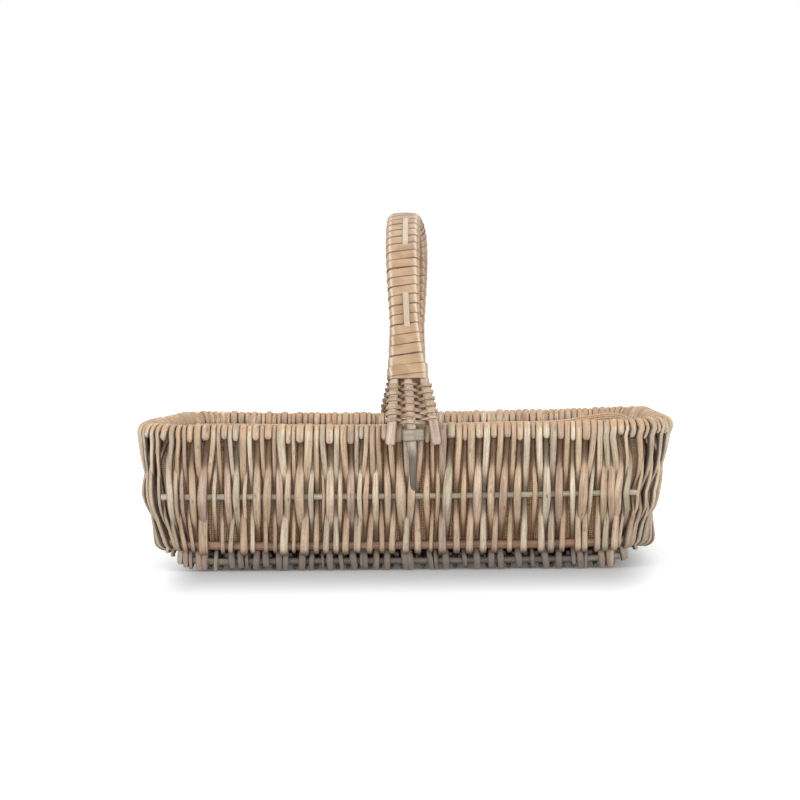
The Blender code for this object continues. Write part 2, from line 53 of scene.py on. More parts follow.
HOOP_HEIGHT = 0.119
HOOP_RADIUS = 0.0045
CORNER_RUN = HOOP_CORNER * math.pi / 2
QUARTER_RUN = STRAIGHT_X + CORNER_RUN + STRAIGHT_Y
FULL_RUN = 4 * QUARTER_RUN
FLARE = 0.014
END_SPAN = (0.150, 0.215)
CORNER_SPAN_X = (0.165, 0.225)
CORNER_SPAN_Y = (0.070, 0.125)
FOOT_SPAN = (0.016, 0.064)
END_LIFT = 0.0022
FOOT_SHIFT = 0.0040
FOOT_LIFT = 0.0045
LEFT_DRAW = 0.0070
RIGHT_DRAW = 0.0105
LEFT_BULGE = 0.0065
RIGHT_BULGE = 0.0012
RIGHT_WAIST = 0.0042
LEFT_LOW_BULGE = 0.0030
LEFT_RIM_OUT = 0.0030
SHARP_ANGLE = math.radians(50)
UP = Vector((0, 0, 1))
ALONG_X = Vector((1, 0, 0))


def clamped(value):
    return min(max(value, 0), 1)


def smooth(share):
    """From 0 to 1 with a soft start and a soft end."""
    return share * share * (3 - 2 * share)


def step_between(value, low, high):
    """0 at low, 1 at high, and smooth between."""
    return smooth(clamped((value - low) / (high - low)))


def hump(value, middle, width):
    """1 at the middle, and falls off on both sides of it."""
    return math.exp(-((value - middle) / width) ** 2)


def warped(point):
    """Hand work isn't even. The rim sags a little at the handle, and the foot sits a little towards -X.

    The ends bulge under the rim, most at -X, where the rim stands further out and the wall bulges low
    down too. The +X end is drawn in under its rim and half way down. The foot is drawn in and lifted at
    its four corners.
    """
    x, y, z = point
    level = clamped(z / HOOP_HEIGHT)
    side = -1 if x < 0 else 1
    at_end = step_between(abs(x), *END_SPAN)
    at_corner = step_between(abs(x), *CORNER_SPAN_X) * step_between(abs(y), *CORNER_SPAN_Y)
    at_foot = 1 - step_between(z, *FOOT_SPAN)
    bulge = (LEFT_BULGE if x < 0 else RIGHT_BULGE) * (level / 0.70) ** 2 * ((1 - level) / 0.30) ** 0.86
    if x > 0:
        bulge -= RIGHT_WAIST * (hump(level, 0.56, 0.09) + 1.1 * hump(level, 0.91, 0.06))
    else:
        bulge += LEFT_LOW_BULGE * hump(level, 0.34, 0.15)
        bulge += LEFT_RIM_OUT * (step_between(level, 0.93, 1) - 0.9 * hump(level, 0.89, 0.05))
    draw_in = (LEFT_DRAW if x < 0 else RIGHT_DRAW) * at_corner * at_foot
    x += side * (bulge * at_end - draw_in) - FOOT_SHIFT * (1 - level)
    y -= 0.5 * LEFT_DRAW * at_corner * at_foot * (-1 if y < 0 else 1)
    z += END_LIFT * (point.x / STRAIGHT_X * z / HOOP_HEIGHT) ** 2 + FOOT_LIFT * at_corner * at_foot
    return Vector((x, y, z))


def basket_point(run, outward, height):
    """A point of the wall. run starts at the middle of the front and goes towards +X."""
    run = run % FULL_RUN
    across = -1
    along = 1
    if run > 2 * QUARTER_RUN:
        run = FULL_RUN - run
        along = -1
    if run > QUARTER_RUN:
        run = 2 * QUARTER_RUN - run
        across = 1
    reach = HOOP_CORNER + outward
    turn = clamped((run - STRAIGHT_X) / CORNER_RUN) * math.pi / 2
    x = min(run, STRAIGHT_X) + reach * math.sin(turn)
    y = STRAIGHT_Y - max(run - STRAIGHT_X - CORNER_RUN, 0) + reach * math.cos(turn)
    return warped(Vector((x * along, y * across, height)))


def basket_way(run):
    """The direction along the hoop."""
    step = 0.0005
    return (basket_point(run + step, 0, 0) - basket_point(run - step, 0, 0)).normalized()


def lean(height):
    """How far the wall's middle lies out from the rim hoop: the wall flares upwards."""
    return -FLARE * (HOOP_HEIGHT - height) / HOOP_HEIGHT


def plug(tree, socket, value):
    """Wires another node's output into a socket, or sets a plain value on it."""
    if isinstance(value, bpy.types.NodeSocket):
        tree.links.new(value, socket)
    else:
        socket.default_value = value


def node(tree, kind, inputs=None, **settings):
    """Adds a node to a tree, sets it up and fills its inputs."""
    made = tree.nodes.new(kind)
    for key, value in settings.items():
        setattr(made, key, value)
    for name, value in (inputs or {}).items():
        plug(tree, made.inputs[name], value)
    return made


def flow(tree, kind, inputs=None, **settings):
    """Adds a node and gives its first output."""
    return node(tree, kind, inputs, **settings).outputs[0]


def math_node(tree, operation, *values, clamp=False):
    return flow(tree, "ShaderNodeMath", dict(enumerate(values)), operation=operation, use_clamp=clamp)


def times(tree, one, other):
    return math_node(tree, "MULTIPLY", one, other)


def vector_node(tree, operation, inputs, output="Vector"):
    return node(tree, "ShaderNodeVectorMath", inputs, operation=operation).outputs[output]


def vector_of(tree, *parts):
    return flow(tree, "ShaderNodeCombineXYZ", dict(enumerate(parts)))


def parts_of(tree, vector):
    return node(tree, "ShaderNodeSeparateXYZ", {0: vector}).outputs


def attribute(tree, name, output="Fac"):
    return node(tree, "ShaderNodeAttribute", attribute_name=name).outputs[output]


def cloudy(tree, place, scale, detail, roughness=0.5, output=0):
    """Soft noise at a place. A larger scale makes it finer."""
    inputs = {"Vector": place, "Scale": scale, "Detail": detail, "Roughness": roughness}
    return node(tree, "ShaderNodeTexNoise", inputs).outputs[output]


def ramp(tree, factor, stops):
    made = node(tree, "ShaderNodeValToRGB", {0: factor})
    elements = made.color_ramp.elements
    while len(elements) < len(stops):
        elements.new(0.5)
    for element, (place, colour) in zip(elements, stops):
        element.position = place
        element.color = (*colour, 1)
    return made.outputs[0]


def mix(tree, factor, one, other, blend="MIX"):
    made = node(tree, "ShaderNodeMix", data_type="RGBA", blend_type=blend)
    for number, value in ((0, factor), (6, one), (7, other)):
        plug(tree, made.inputs[number], (*value, 1) if isinstance(value, tuple) else value)
    return made.outputs[2]


def band(tree, value, low, high):
    """0 at low, 1 at high, and smooth between. low may be the larger of the two."""
    inputs = {0: value, 1: low, 2: high, 3: 0.0, 4: 1.0}
    return flow(tree, "ShaderNodeMapRange", inputs, interpolation_type="SMOOTHSTEP")


def new_material(name):
    """A material, its node tree and its shader."""
    material = bpy.data.materials.new(name)
    material.use_nodes = True
    return material, material.node_tree, material.node_tree.nodes["Principled BSDF"]


def surface(tree, shader, colour, roughness, relief, strength, distance):
    """Gives a shader its colour and roughness, and bumps that are distance high at full strength."""
    bump = flow(tree, "ShaderNodeBump", {"Strength": strength, "Distance": distance, "Height": relief})
    for name, value in (("Base Color", colour), ("Roughness", roughness), ("Normal", bump)):
        plug(tree, shader.inputs[name], value)


def willow(name, tones, wash_and_side_shade, rim_top_tone=None, wash_share=0.35, roughness=0.55, sunk_shade=(0.56, 0.47, 0.40)):
    """Peeled willow under a thin grey-brown wash: one tone to a rod, streaks along it, and small knots.

    That grey-brown gathers at the sides of each rod, and painted shade darkens those sides with it. A
    dark line of painted shade runs along each rod's edges, and painted shade darkens a rod where it lies
    behind its neighbours. Lower down the willow is painted darker as shade, and its foot is painted in
    deep shade, less so at the basket's ends. The rim's tops can be given a warmer colour, in patches.
    """
    material, tree, shader = new_material(name)
    along = attribute(tree, "along")
    across = parts_of(tree, attribute(tree, "across", "Vector"))
    aside = math_node(tree, "ABSOLUTE", across[0])
    rod = attribute(tree, "rod")
    place = node(tree, "ShaderNodeTexCoord").outputs["Object"]
    parts = parts_of(tree, place)
    height = parts["Z"]
    stops = [((i + 0.5) / len(tones), tone) for i, tone in enumerate(tones)]
    base = ramp(tree, attribute(tree, "tone"), stops)

    turned = math_node(tree, "ADD", times(tree, across[1], 2.2), times(tree, rod, 3.7))
    lengthwise = vector_of(tree, times(tree, across[0], 2.2), turned, times(tree, along, 55.0))
    streak = cloudy(tree, lengthwise, 1.0, 4.0, 0.62)
    base = mix(tree, band(tree, streak, 0.40, 0.68), base, (0.66, 0.62, 0.57), "MULTIPLY")
    base = mix(tree, band(tree, streak, 0.46, 0.30), base, (1.16, 1.16, 1.15), "MULTIPLY")

    patches = vector_of(tree, times(tree, rod, 5.3), times(tree, across[0], 0.3), times(tree, along, 34.0))
    patch = band(tree, cloudy(tree, patches, 1.0, 2.0), 0.42, 0.74)
    # Painted shade on the sides of each rod, where they turn from the light, mixed in with the grey-brown.
    side = times(tree, band(tree, aside, 0.56, 1.0), 0.66)
    washed_and_shaded = math_node(tree, "ADD", times(tree, patch, wash_share), side, clamp=True)
    base = mix(tree, washed_and_shaded, base, wash_and_side_shade)
    # Painted shade: a dark line along each rod's edges, where it meets its neighbours.
    edge_shade = times(tree, band(tree, aside, 0.84, 1.0), 0.85)
    base = mix(tree, edge_shade, base, (0.11, 0.075, 0.05))
    # Painted shade where a rod lies behind its neighbours.
    base = mix(tree, attribute(tree, "painted_light"), base, sunk_shade, "MULTIPLY")
    if rim_top_tone:
        mottle = band(tree, cloudy(tree, place, 170.0, 2.0), 0.30, 0.62)
        top = times(tree, band(tree, height, 0.1222, 0.1254), mottle)
        base = mix(tree, times(tree, top, 0.80), base, rim_top_tone)

    # Painted shade: darker towards the bottom, where less light falls.
    base = mix(tree, band(tree, height, 0.084, 0.032), base, (0.79, 0.78, 0.775), "MULTIPLY")
    # Painted shade under the basket's foot, lighter at the ends, where more light reaches it.
    at_ends = band(tree, math_node(tree, "ABSOLUTE", parts["X"]), 0.140, 0.188)
    foot_shade = math_node(tree, "MULTIPLY_ADD", at_ends, -0.52, 0.86)
    low = times(tree, band(tree, height, 0.0200, 0.0135), foot_shade)
    base = mix(tree, low, base, (0.125, 0.100, 0.088))

    spots = vector_of(tree, times(tree, across[0], 0.55), times(tree, rod, 9.1), times(tree, along, 62.0))
    spot = node(tree, "ShaderNodeTexVoronoi", {"Vector": spots, "Scale": 1.0}).outputs["Distance"]
    knot = times(tree, band(tree, spot, 0.20, 0.07), 0.5)
    base = mix(tree, knot, base, (0.075, 0.045, 0.030))
    fleck = band(tree, cloudy(tree, place, 620.0, 1.0), 0.56, 0.72)
    base = mix(tree, fleck, base, (0.84, 0.81, 0.78), "MULTIPLY")
    gloss = math_node(tree, "MULTIPLY_ADD", streak, 0.22, roughness - 0.11)
    surface(tree, shader, base, gloss, streak, 0.45, 0.0005)
    return material


def named(tree, name, kind):
    return flow(tree, "GeometryNodeInputNamedAttribute", {"Name": name}, data_type=kind)


def stored(tree, geometry, name, value, kind):
    """The geometry with a value kept at each of its points under a name."""
    inputs = {"Geometry": geometry, "Name": name, "Value": value}
    return flow(tree, "GeometryNodeStoreNamedAttribute", inputs, data_type=kind, domain="POINT")


def rod_tree(name, flat):
    """The tree that sweeps every rod or flat strip along its rail, with its own tone and unevenness."""
    tree = bpy.data.node_groups.new(name, "GeometryNodeTree")
    face = tree.interface
    face.new_socket("Rails", in_out="INPUT", socket_type="NodeSocketGeometry")
    face.new_socket("Rods", in_out="OUTPUT", socket_type="NodeSocketGeometry")
    sockets = [
        ("Thickness Share", "Float"),
        ("Unevenness", "Float"),
        ("Steps", "Int"),
        ("Sides", "Int"),
        ("Seed", "Int"),
        ("Finish", "Material"),
    ]
    if not flat:
        sockets.append(("Squareness", "Float"))
    for label, kind in sockets:
        face.new_socket(label, in_out="INPUT", socket_type=f"NodeSocket{kind}")
    given = tree.nodes.new("NodeGroupInput").outputs

    rails = flow(tree, "GeometryNodeMeshToCurve", {0: given["Rails"]})
    rails = flow(tree, "GeometryNodeCurveSplineType", {0: rails}, spline_type="CATMULL_ROM")
    rails = flow(tree, "GeometryNodeSetSplineResolution", {"Geometry": rails, "Resolution": given["Steps"]})
    rails = flow(tree, "GeometryNodeResampleCurve", {0: rails}, mode="EVALUATED")
    number = named(tree, "rod", "INT")
    chance = node(tree, "FunctionNodeRandomValue", {"ID": number, "Seed": given["Seed"]}, data_type="FLOAT")
    tone = next(socket for socket in chance.outputs if socket.enabled)
    length = node(tree, "GeometryNodeSplineParameter").outputs["Length"]
    rails = stored(tree, rails, "tone", tone, "FLOAT")
    rails = stored(tree, rails, "along", length, "FLOAT")

    spot = vector_of(tree, times(tree, number, 7.3), times(tree, length, 45.0), given["Seed"])
    lumps = math_node(tree, "SUBTRACT", cloudy(tree, spot, 1.0, 1.0), 0.5)
    swell = math_node(tree, "MULTIPLY_ADD", times(tree, lumps, given["Unevenness"]), 2.0, 1.0)
    girth = times(tree, named(tree, "girth", "FLOAT"), swell)

    facing = named(tree, "facing", "FLOAT_VECTOR")
    way = flow(tree, "GeometryNodeInputTangent")
    share = vector_node(tree, "DOT_PRODUCT", {0: facing, 1: way}, "Value")
    lost = vector_node(tree, "SCALE", {0: way, "Scale": share})
    level = vector_node(tree, "NORMALIZE", {0: vector_node(tree, "SUBTRACT", {0: facing, 1: lost})})
    rails = flow(tree, "GeometryNodeSetCurveNormal", {0: rails, "Normal": level}, mode="FREE")

    if flat:
        section = flow(tree, "GeometryNodeCurvePrimitiveQuadrilateral", {"Width": 2.0, "Height": 2.0})
    else:
        circle = {"Resolution": given["Sides"], "Radius": 1.0}
        section = flow(tree, "GeometryNodeCurvePrimitiveCircle", circle)
        place = flow(tree, "GeometryNodeInputPosition")
        powers = []
        for part in parts_of(tree, place)[:2]:
            size = math_node(tree, "ABSOLUTE", part)
            powers.append(math_node(tree, "POWER", size, given["Squareness"]))
        root = math_node(tree, "DIVIDE", -1.0, given["Squareness"])
        stretch = math_node(tree, "POWER", math_node(tree, "ADD", *powers), root)
        place = vector_node(tree, "SCALE", {0: place, "Scale": stretch})
        section = flow(tree, "GeometryNodeSetPosition", {"Geometry": section, "Position": place})
    size = vector_of(tree, 1.0, given["Thickness Share"], 1.0)
    section = flow(tree, "GeometryNodeTransform", {"Geometry": section, "Scale": size})
    if flat:
        edge = times(tree, given["Thickness Share"], 0.95)
        rounding = {"Curve": section, "Radius": edge, "Count": given["Sides"], "Limit Radius": True}
        section = flow(tree, "GeometryNodeFilletCurve", rounding, mode="POLY")
    section = stored(tree, section, "across", flow(tree, "GeometryNodeInputPosition"), "FLOAT_VECTOR")

    sweep = {"Curve": rails, "Profile Curve": section, "Scale": girth, "Fill Caps": True}
    rods = flow(tree, "GeometryNodeCurveToMesh", sweep)
    rods = flow(tree, "GeometryNodeRealizeInstances", {0: rods})
    rods = flow(tree, "GeometryNodeSetMaterial", {"Geometry": rods, "Material": given["Finish"]})
    node(tree, "NodeGroupOutput", {0: rods})
    return tree


ROUND_ROD = rod_tree("Round rods on rails", flat=False)
FLAT_STRIP = rod_tree("Flat strips on rails", flat=True)


def linked(name, data):
    """A new object in the scene."""
    piece = bpy.data.objects.new(name, data)
    bpy.context.scene.collection.objects.link(piece)
    return piece


def settled(piece, tree, settings):
    """Runs a node tree on a piece, keeps the result as its plain mesh, and takes the modifier off."""
    modifier = piece.modifiers.new(tree.name, "NODES")
    modifier.node_group = tree
    names = {item.name: item.identifier for item in tree.interface.items_tree if item.in_out == "INPUT"}
    for label, value in settings.items():
        modifier[names[label]] = value
    graph = bpy.context.evaluated_depsgraph_get()
    evaluated = piece.evaluated_get(graph)
    mesh = bpy.data.meshes.new_from_object(evaluated, preserve_all_data_layers=True, depsgraph=graph)
    piece.modifiers.remove(modifier)
    piece.data = mesh
    mesh.shade_smooth()
    mesh.set_sharp_from_angle(angle=SHARP_ANGLE)
    return piece


def rods_on_rails(
    name, rails, finish, thickness=1.0, uneven=0.05, steps=2, sides=12, seed=1,
    tree=ROUND_ROD, closed=False, square=2.0,
):
    """Rods or strips as one piece. A rail is a list of (point, half width, direction of the width).

    It may have a fourth value at each point, from 0 to 1, of painted light: on a strip of cane, a painted
    highlight where it bends over an edge; on a rod, painted shade where it lies behind its neighbours.
    thickness is a share of the width. square is 2 for a round rod, and more for a flattened one.
    """
    points, edges, girths, facings, numbers, painted_lights = [], [], [], [], [], []
    for number, rail in enumerate(rails):
        first = len(points)
        for point, girth, facing, *painted_light in rail:
            points.append(point)
            girths.append(girth)
            painted_lights.append(painted_light[0] if painted_light else 0)
            facings.extend(facing)
            numbers.append(number)
        edges += [(i, i + 1) for i in range(first, len(points) - 1)]
        if closed:
            edges.append((len(points) - 1, first))
    mesh = bpy.data.meshes.new(name)
    mesh.from_pydata(points, edges, [])
    for label, kind, field, values in (
        ("girth", "FLOAT", "value", girths),
        ("facing", "FLOAT_VECTOR", "vector", facings),
        ("painted_light", "FLOAT", "value", painted_lights),
        ("rod", "INT", "value", numbers),
    ):
        mesh.attributes.new(label, kind, "POINT").data.foreach_set(field, values)
    settings = {
        "Thickness Share": thickness,
        "Unevenness": uneven,
        "Steps": steps,
        "Sides": sides,
        "Seed": seed,
        "Finish": finish,
    }
    if tree == ROUND_ROD:
        settings["Squareness"] = square
    return settled(linked(name, mesh), tree, settings)


def fit(piece, slot, *nodes):
    """A finished piece rides on the basket and stands for its CAD nodes. slot is not used."""
    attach(piece, "root")
    if nodes:
        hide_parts(*nodes)


hoop_tones = [(0.52, 0.285, 0.19), (0.56, 0.325, 0.22), (0.47, 0.25, 0.165)]
hoop_willow = willow("reddish_willow", hoop_tones, (0.33, 0.19, 0.13))


def hoop_runs():
    """Places along the hoop: close together round the corners, and a few on each straight."""
    runs = []
    for quarter in range(4):
        before, after = (STRAIGHT_X, STRAIGHT_Y) if quarter % 2 == 0 else (STRAIGHT_Y, STRAIGHT_X)
        start = quarter * QUARTER_RUN + before
        runs += [start + CORNER_RUN * i / 8 for i in range(9)]
        runs += [start + CORNER_RUN + 2 * after * i / 6 for i in range(1, 6)]
    return runs


rim_rail = [(basket_point(run, 0, HOOP_HEIGHT), HOOP_RADIUS, UP) for run in hoop_runs()]
rim_rod = rods_on_rails("rim_hoop_rod", [rim_rail], hoop_willow, uneven=0, closed=True)
fit(rim_rod, "willow_hoops", "rim_hoop")


# The base hoop. A thinner rod with its reddish bark left on, bent like the rim hoop and smaller by the
# wall's flare. It shows between the rods all round the foot of the wall.
BASE_HOOP_HEIGHT = 0.0215
BASE_HOOP_RADIUS = 0.0040
BASE_HOOP_OUT = lean(BASE_HOOP_HEIGHT)
base_rail = []
for run in hoop_runs():
    base_rail.append((basket_point(run, BASE_HOOP_OUT, BASE_HOOP_HEIGHT), BASE_HOOP_RADIUS, UP))
base_rod = rods_on_rails(
    "base_hoop_rod", [base_rail], hoop_willow, uneven=0.02, steps=4, sides=14, closed=True
)
fit(base_rod, "willow_hoops", "base_hoop")


# The ribs. Straight grey-green rods with cut ends: one half way up each side of the wall, and five
# under the floor, the outer two in line with the front and back walls.
MID_RIB_HEIGHT = 0.065
MID_RIB_RADIUS = 0.0029
LONG_RIB_OVERRUN = 0.018
SHORT_RIB_OVERRUN = 0.004
BASE_RIB_HEIGHT = 0.0076
BASE_RIB_RADIUS = 0.0031
BASE_RIB_REACH = 0.1951
RIB_STEPS = 12
RIB_SWAY = 0.0007
rib_tones = [(0.70, 0.62, 0.48), (0.76, 0.68, 0.53), (0.64, 0.57, 0.44)]
rib_willow = willow("grey_green_willow", rib_tones, (0.48, 0.42, 0.34), wash_share=0.4)


def rib_rail(middle, half_way, radius, seed):
    """A nearly straight rod with a slight natural bow and a little taper towards its tip."""
    rail = []
    for i in range(RIB_STEPS + 1):
        share = i / RIB_STEPS
        point = warped((middle - half_way).lerp(middle + half_way, share))
        sway = noise.noise(Vector((seed * 3.1, share * 2.5, 0))) * RIB_SWAY
        rail.append((point + UP * sway, radius * (1.03 - 0.08 * share), UP))
    return rail


mid_x = STRAIGHT_X + HOOP_CORNER + lean(MID_RIB_HEIGHT)
mid_y = STRAIGHT_Y + HOOP_CORNER + lean(MID_RIB_HEIGHT)
mid_rails = []
long_half_way = Vector((STRAIGHT_X + LONG_RIB_OVERRUN, 0, 0))
for side in (-1, 1):
    middle = Vector((0, side * mid_y, MID_RIB_HEIGHT))
    mid_rails.append(rib_rail(middle, long_half_way, MID_RIB_RADIUS, side))
short_half_way = Vector((0, STRAIGHT_Y + SHORT_RIB_OVERRUN, 0))
for side in (-1, 1):
    middle = Vector((side * mid_x, 0, MID_RIB_HEIGHT))
    mid_rails.append(rib_rail(middle, short_half_way, MID_RIB_RADIUS, side + 5))
mid_ribs = rods_on_rails("mid_rib_rods", mid_rails, rib_willow, seed=3)
fit(mid_ribs, "willow_ribs", "mid_rib_front", "mid_rib_back", "mid_rib_left", "mid_rib_right")
base_rib_y = STRAIGHT_Y + HOOP_CORNER + lean(BASE_RIB_HEIGHT)
base_rib_places = [base_rib_y * (i / 2 - 1) for i in range(5)]
base_rib_rails = []
for i, y in enumerate(base_rib_places):
    middle = Vector((0, y, BASE_RIB_HEIGHT))
    base_rib_rails.append(rib_rail(middle, Vector((BASE_RIB_REACH, 0, 0)), BASE_RIB_RADIUS, i + 11))
base_ribs = rods_on_rails("base_rib_rods", base_rib_rails, rib_willow, uneven=0.03, seed=4)
fit(base_ribs, "willow_ribs", *[f"base_rib_{i + 1}" for i in range(5)])


# The woven base. Thin rods lie side by side across the basket, and each passes under one rib and over
# the next, with its neighbours the other way round.
BASE_PITCH = 0.0047
BASE_RODS = 40
BASE_ROD_HALVES = (0.0019, 0.0023)
BASE_ROD_ASIDE = 0.0003
BASE_BEND_ASIDE = 0.002
BASE_DEPTH_SHARE = 0.86
BASE_END_INSIDE = 0.0062
BASE_BEND_REACH = 0.0035
TIGHT = 0.0001
wall_tones = [
    (0.73, 0.54, 0.37),
    (0.60, 0.40, 0.25),
    (0.84, 0.66, 0.47),
    (0.64, 0.44, 0.33),
    (0.55, 0.47, 0.34),
    (0.88, 0.75, 0.57),
    (0.67, 0.46, 0.29),
    (0.55, 0.39, 0.30),
]
wall_willow = willow("washed_willow", wall_tones, (0.32, 0.255, 0.20), rim_top_tone=(0.57, 0.36, 0.20))
draw = random.Random(7)
base_rails = []
for number in range(-BASE_RODS, BASE_RODS + 1):
    half = draw.uniform(*BASE_ROD_HALVES)
    x = number * BASE_PITCH + draw.uniform(-BASE_ROD_ASIDE, BASE_ROD_ASIDE)
    stand_off = BASE_RIB_RADIUS + half * BASE_DEPTH_SHARE + TIGHT
    level = -1 if number % 2 == 0 else 1
    points = []
    for i, y in enumerate(base_rib_places):
        if level > 0 and i in (0, 4):
            inside = BASE_END_INSIDE if i == 0 else -BASE_END_INSIDE
            points.append((y + inside, BASE_RIB_HEIGHT + stand_off))
        else:
            reach = [(-1 if i > 0 else -0.1), (1 if i < 4 else 0.1)]
            points += [(y + way * BASE_BEND_REACH, BASE_RIB_HEIGHT + level * stand_off) for way in reach]
        if i < 4:
            between = (y + base_rib_places[i + 1]) / 2
            points.append((between + draw.uniform(-BASE_BEND_ASIDE, BASE_BEND_ASIDE), BASE_RIB_HEIGHT))
        level = -level
    base_rails.append([(warped(Vector((x, y, z))), half, ALONG_X) for y, z in points])
base_weave = rods_on_rails(
    "base_weave_rods", base_rails, wall_willow, thickness=BASE_DEPTH_SHARE, steps=3, sides=8, seed=5
)
fit(base_weave, "willow_strands", "weave_base")


# The woven wall. The rods go in pairs. The long one comes over the rim, dives inside the mid rib and
# ends outside the base hoop. The short one starts as a stub outside the lowest rib, passes inside the
# base hoop and outside the mid rib, and ends as a short loop on the rim or just behind it.
PAIRS = 150
ROD_HALVES = (0.0018, 0.0023, 0.0025, 0.0027, 0.0029, 0.0032)
HALF_SPREAD = 0.0003
LOOPED_SHARE = 0.62
UNLOOPED_SLIM = 0.0004
ROD_DEPTH_SHARE = 0.80
WALL_SQUARENESS = 3.5
RIM_GAP = 0.00030
RIM_SEAT = HOOP_RADIUS + 0.0021
RIM_LOOSE = (-0.0003, 0.0006)
RIM_LEVEL = HOOP_HEIGHT - 0.004
TUCKED_END = HOOP_HEIGHT - 0.0075
LOOP_END = HOOP_HEIGHT - 0.0054
LOOP_END_SPREAD = (-0.0024, 0.0026)
RIM_TURNS = (180, 135, 90, 45, 0)
FOOT_TURNS = (12, -30, -70, -105, -135)
UNDER_TURNS = (290, 265, 225)
STUB_REACH = 0.60
STUB_HALF = 0.0029
STUB_LOW = 0.0006
STUB_SPREAD = 0.0042
STUB_CORNER_RISE = 0.011
STUB_SWAY = (-0.0010, 0.0042)
LONG_MIDDLE_SWAY = (0.0025, 0.0034)
LONG_FOOT_SWAY = (0.0025, -0.0010)
SHORT_MIDDLE_SWAY = (0.0019, -0.0060)
SHORT_FOOT_SWAY = (0.0028, 0.0042)
SWING_EASE = 0.45
CORNER_LOW = 0.028
CORNER_TALL = 0.082
BULGE = 0.0030
CORNER_CALM = 0.45
CORNER_SLIM = 0.26
SUNK_START = 0.0022
SUNK_REACH = 0.0065
SUNK_BELOW = 0.112
draw = random.Random(23)
pairs = []
for number in range(PAIRS):
    long_half = draw.choice(ROD_HALVES) + draw.uniform(-HALF_SPREAD, HALF_SPREAD)
    looped = draw.random() < LOOPED_SHARE
    short_half = draw.choice(ROD_HALVES) + draw.uniform(-HALF_SPREAD, HALF_SPREAD)
    pairs.append((long_half, looped, short_half - (0 if looped else UNLOOPED_SLIM)))
taken = sum(2 * long_half + (2 * short_half if looped else 0) for long_half, looped, short_half in pairs)
slots = PAIRS + sum(looped for _, looped, _ in pairs)
squeeze = (FULL_RUN - slots * RIM_GAP) / taken
long_tops, short_tops = [], []
run = 0.0
for long_half, looped, short_half in pairs:
    long_tops.append(run + squeeze * long_half)
    run += 2 * squeeze * long_half + RIM_GAP
    if looped:
        short_tops.append(run + squeeze * short_half)
        run += 2 * squeeze * short_half + RIM_GAP
    else:
        short_tops.append(run - RIM_GAP / 2)


def settled_runs(tops):
    """Lower down the rods spread out evenly: each lies at the mean of its neighbours' places."""
    found = []
    for i in range(PAIRS):
        near = [tops[(i + k) % PAIRS] + FULL_RUN * ((i + k) // PAIRS) for k in (-2, -1, 0, 1, 2)]
        found.append(sum(near) / len(near))
    return found


def past_straight(run):
    """0 where the long side's straight ends, and 1 where the corner beside it ends."""
    return (abs((run + QUARTER_RUN) % (2 * QUARTER_RUN) - QUARTER_RUN) - STRAIGHT_X) / CORNER_RUN


def round_corner(run):
    """0 on the straights, and 1 in the middle of a corner."""
    return max(math.sin(math.pi * clamped(past_straight(run))), 0)


def wander(run, reach, drift):
    """A chance shift along the wall. Round the corners it is larger, and the rods lean by drift too."""
    turned = round_corner(run)
    outwards = 1 if run % (2 * QUARTER_RUN) < QUARTER_RUN else -1
    return run + draw.uniform(-reach, reach) * (1 + 0.6 * turned) + outwards * drift * turned


long_middles = [wander(run, *LONG_MIDDLE_SWAY) for run in settled_runs(long_tops)]
long_feet = [wander(run, *LONG_FOOT_SWAY) for run in long_middles]
short_middles = []
for i in range(PAIRS):
    after = long_middles[(i + 1) % PAIRS] + (FULL_RUN if i + 1 == PAIRS else 0)
    short_middles.append(wander((long_middles[i] + after) / 2, *SHORT_MIDDLE_SWAY))
short_feet = [wander(run, *SHORT_FOOT_SWAY) for run in short_middles]


def round_rod(outward, height, reach, degrees):
    """Points of a bend round a rod, as (outward, height)."""
    turns = [math.radians(angle) for angle in degrees]
    return [(outward + reach * math.cos(a), height + reach * math.sin(a)) for a in turns]


def over_rim():
    """Half a turn over the rim hoop, from its inner side to its outer one, more or less tight."""
    return round_rod(0, HOOP_HEIGHT, RIM_SEAT + draw.uniform(*RIM_LOOSE), RIM_TURNS)


def straight(start, end, shares):
    return [tuple(a + (b - a) * share for a, b in zip(start, end)) for share in shares]


def with_half(points, half, shares):
    """Each point with its half width, which is a share of the rod's own."""
    return [(*point, half * share) for point, share in zip(points, shares)]


def wall_rail(profile, levels):
    """profile lists (outward, height, half width). levels lists (height, run), top first.

    No rib goes round the corners, so the rods swing less there, and the wall bulges a little.
    """
    rail = []
    for outward, height, girth in profile:
        run = levels[0][1] if height > levels[0][0] else levels[-1][1]
        for (high, high_run), (low, low_run) in zip(levels, levels[1:]):
            if low <= height <= high:
                share = (high - height) / (high - low)
                share += SWING_EASE * (smooth(share) - share)
                run = high_run + (low_run - high_run) * share
        offset = outward - lean(height)
        between = math.sin(math.pi * clamped((height - CORNER_LOW) / CORNER_TALL))
        turned = round_corner(run) * max(between, 0) ** 0.5
        outward += turned * (BULGE - CORNER_CALM * offset)
        # Painted shade: a rod that lies behind its neighbours is painted darker, less so round the corners.
        sunk_shade = smooth(clamped((SUNK_START - offset) / SUNK_REACH)) if height < SUNK_BELOW else 0
        girth *= 1 - CORNER_SLIM * turned * (1.35 - 0.75 * height / HOOP_HEIGHT)
        sunk_shade *= 1 - 0.75 * turned
        rail.append((basket_point(run, outward, height), girth, basket_way(run), sunk_shade))
    return rail


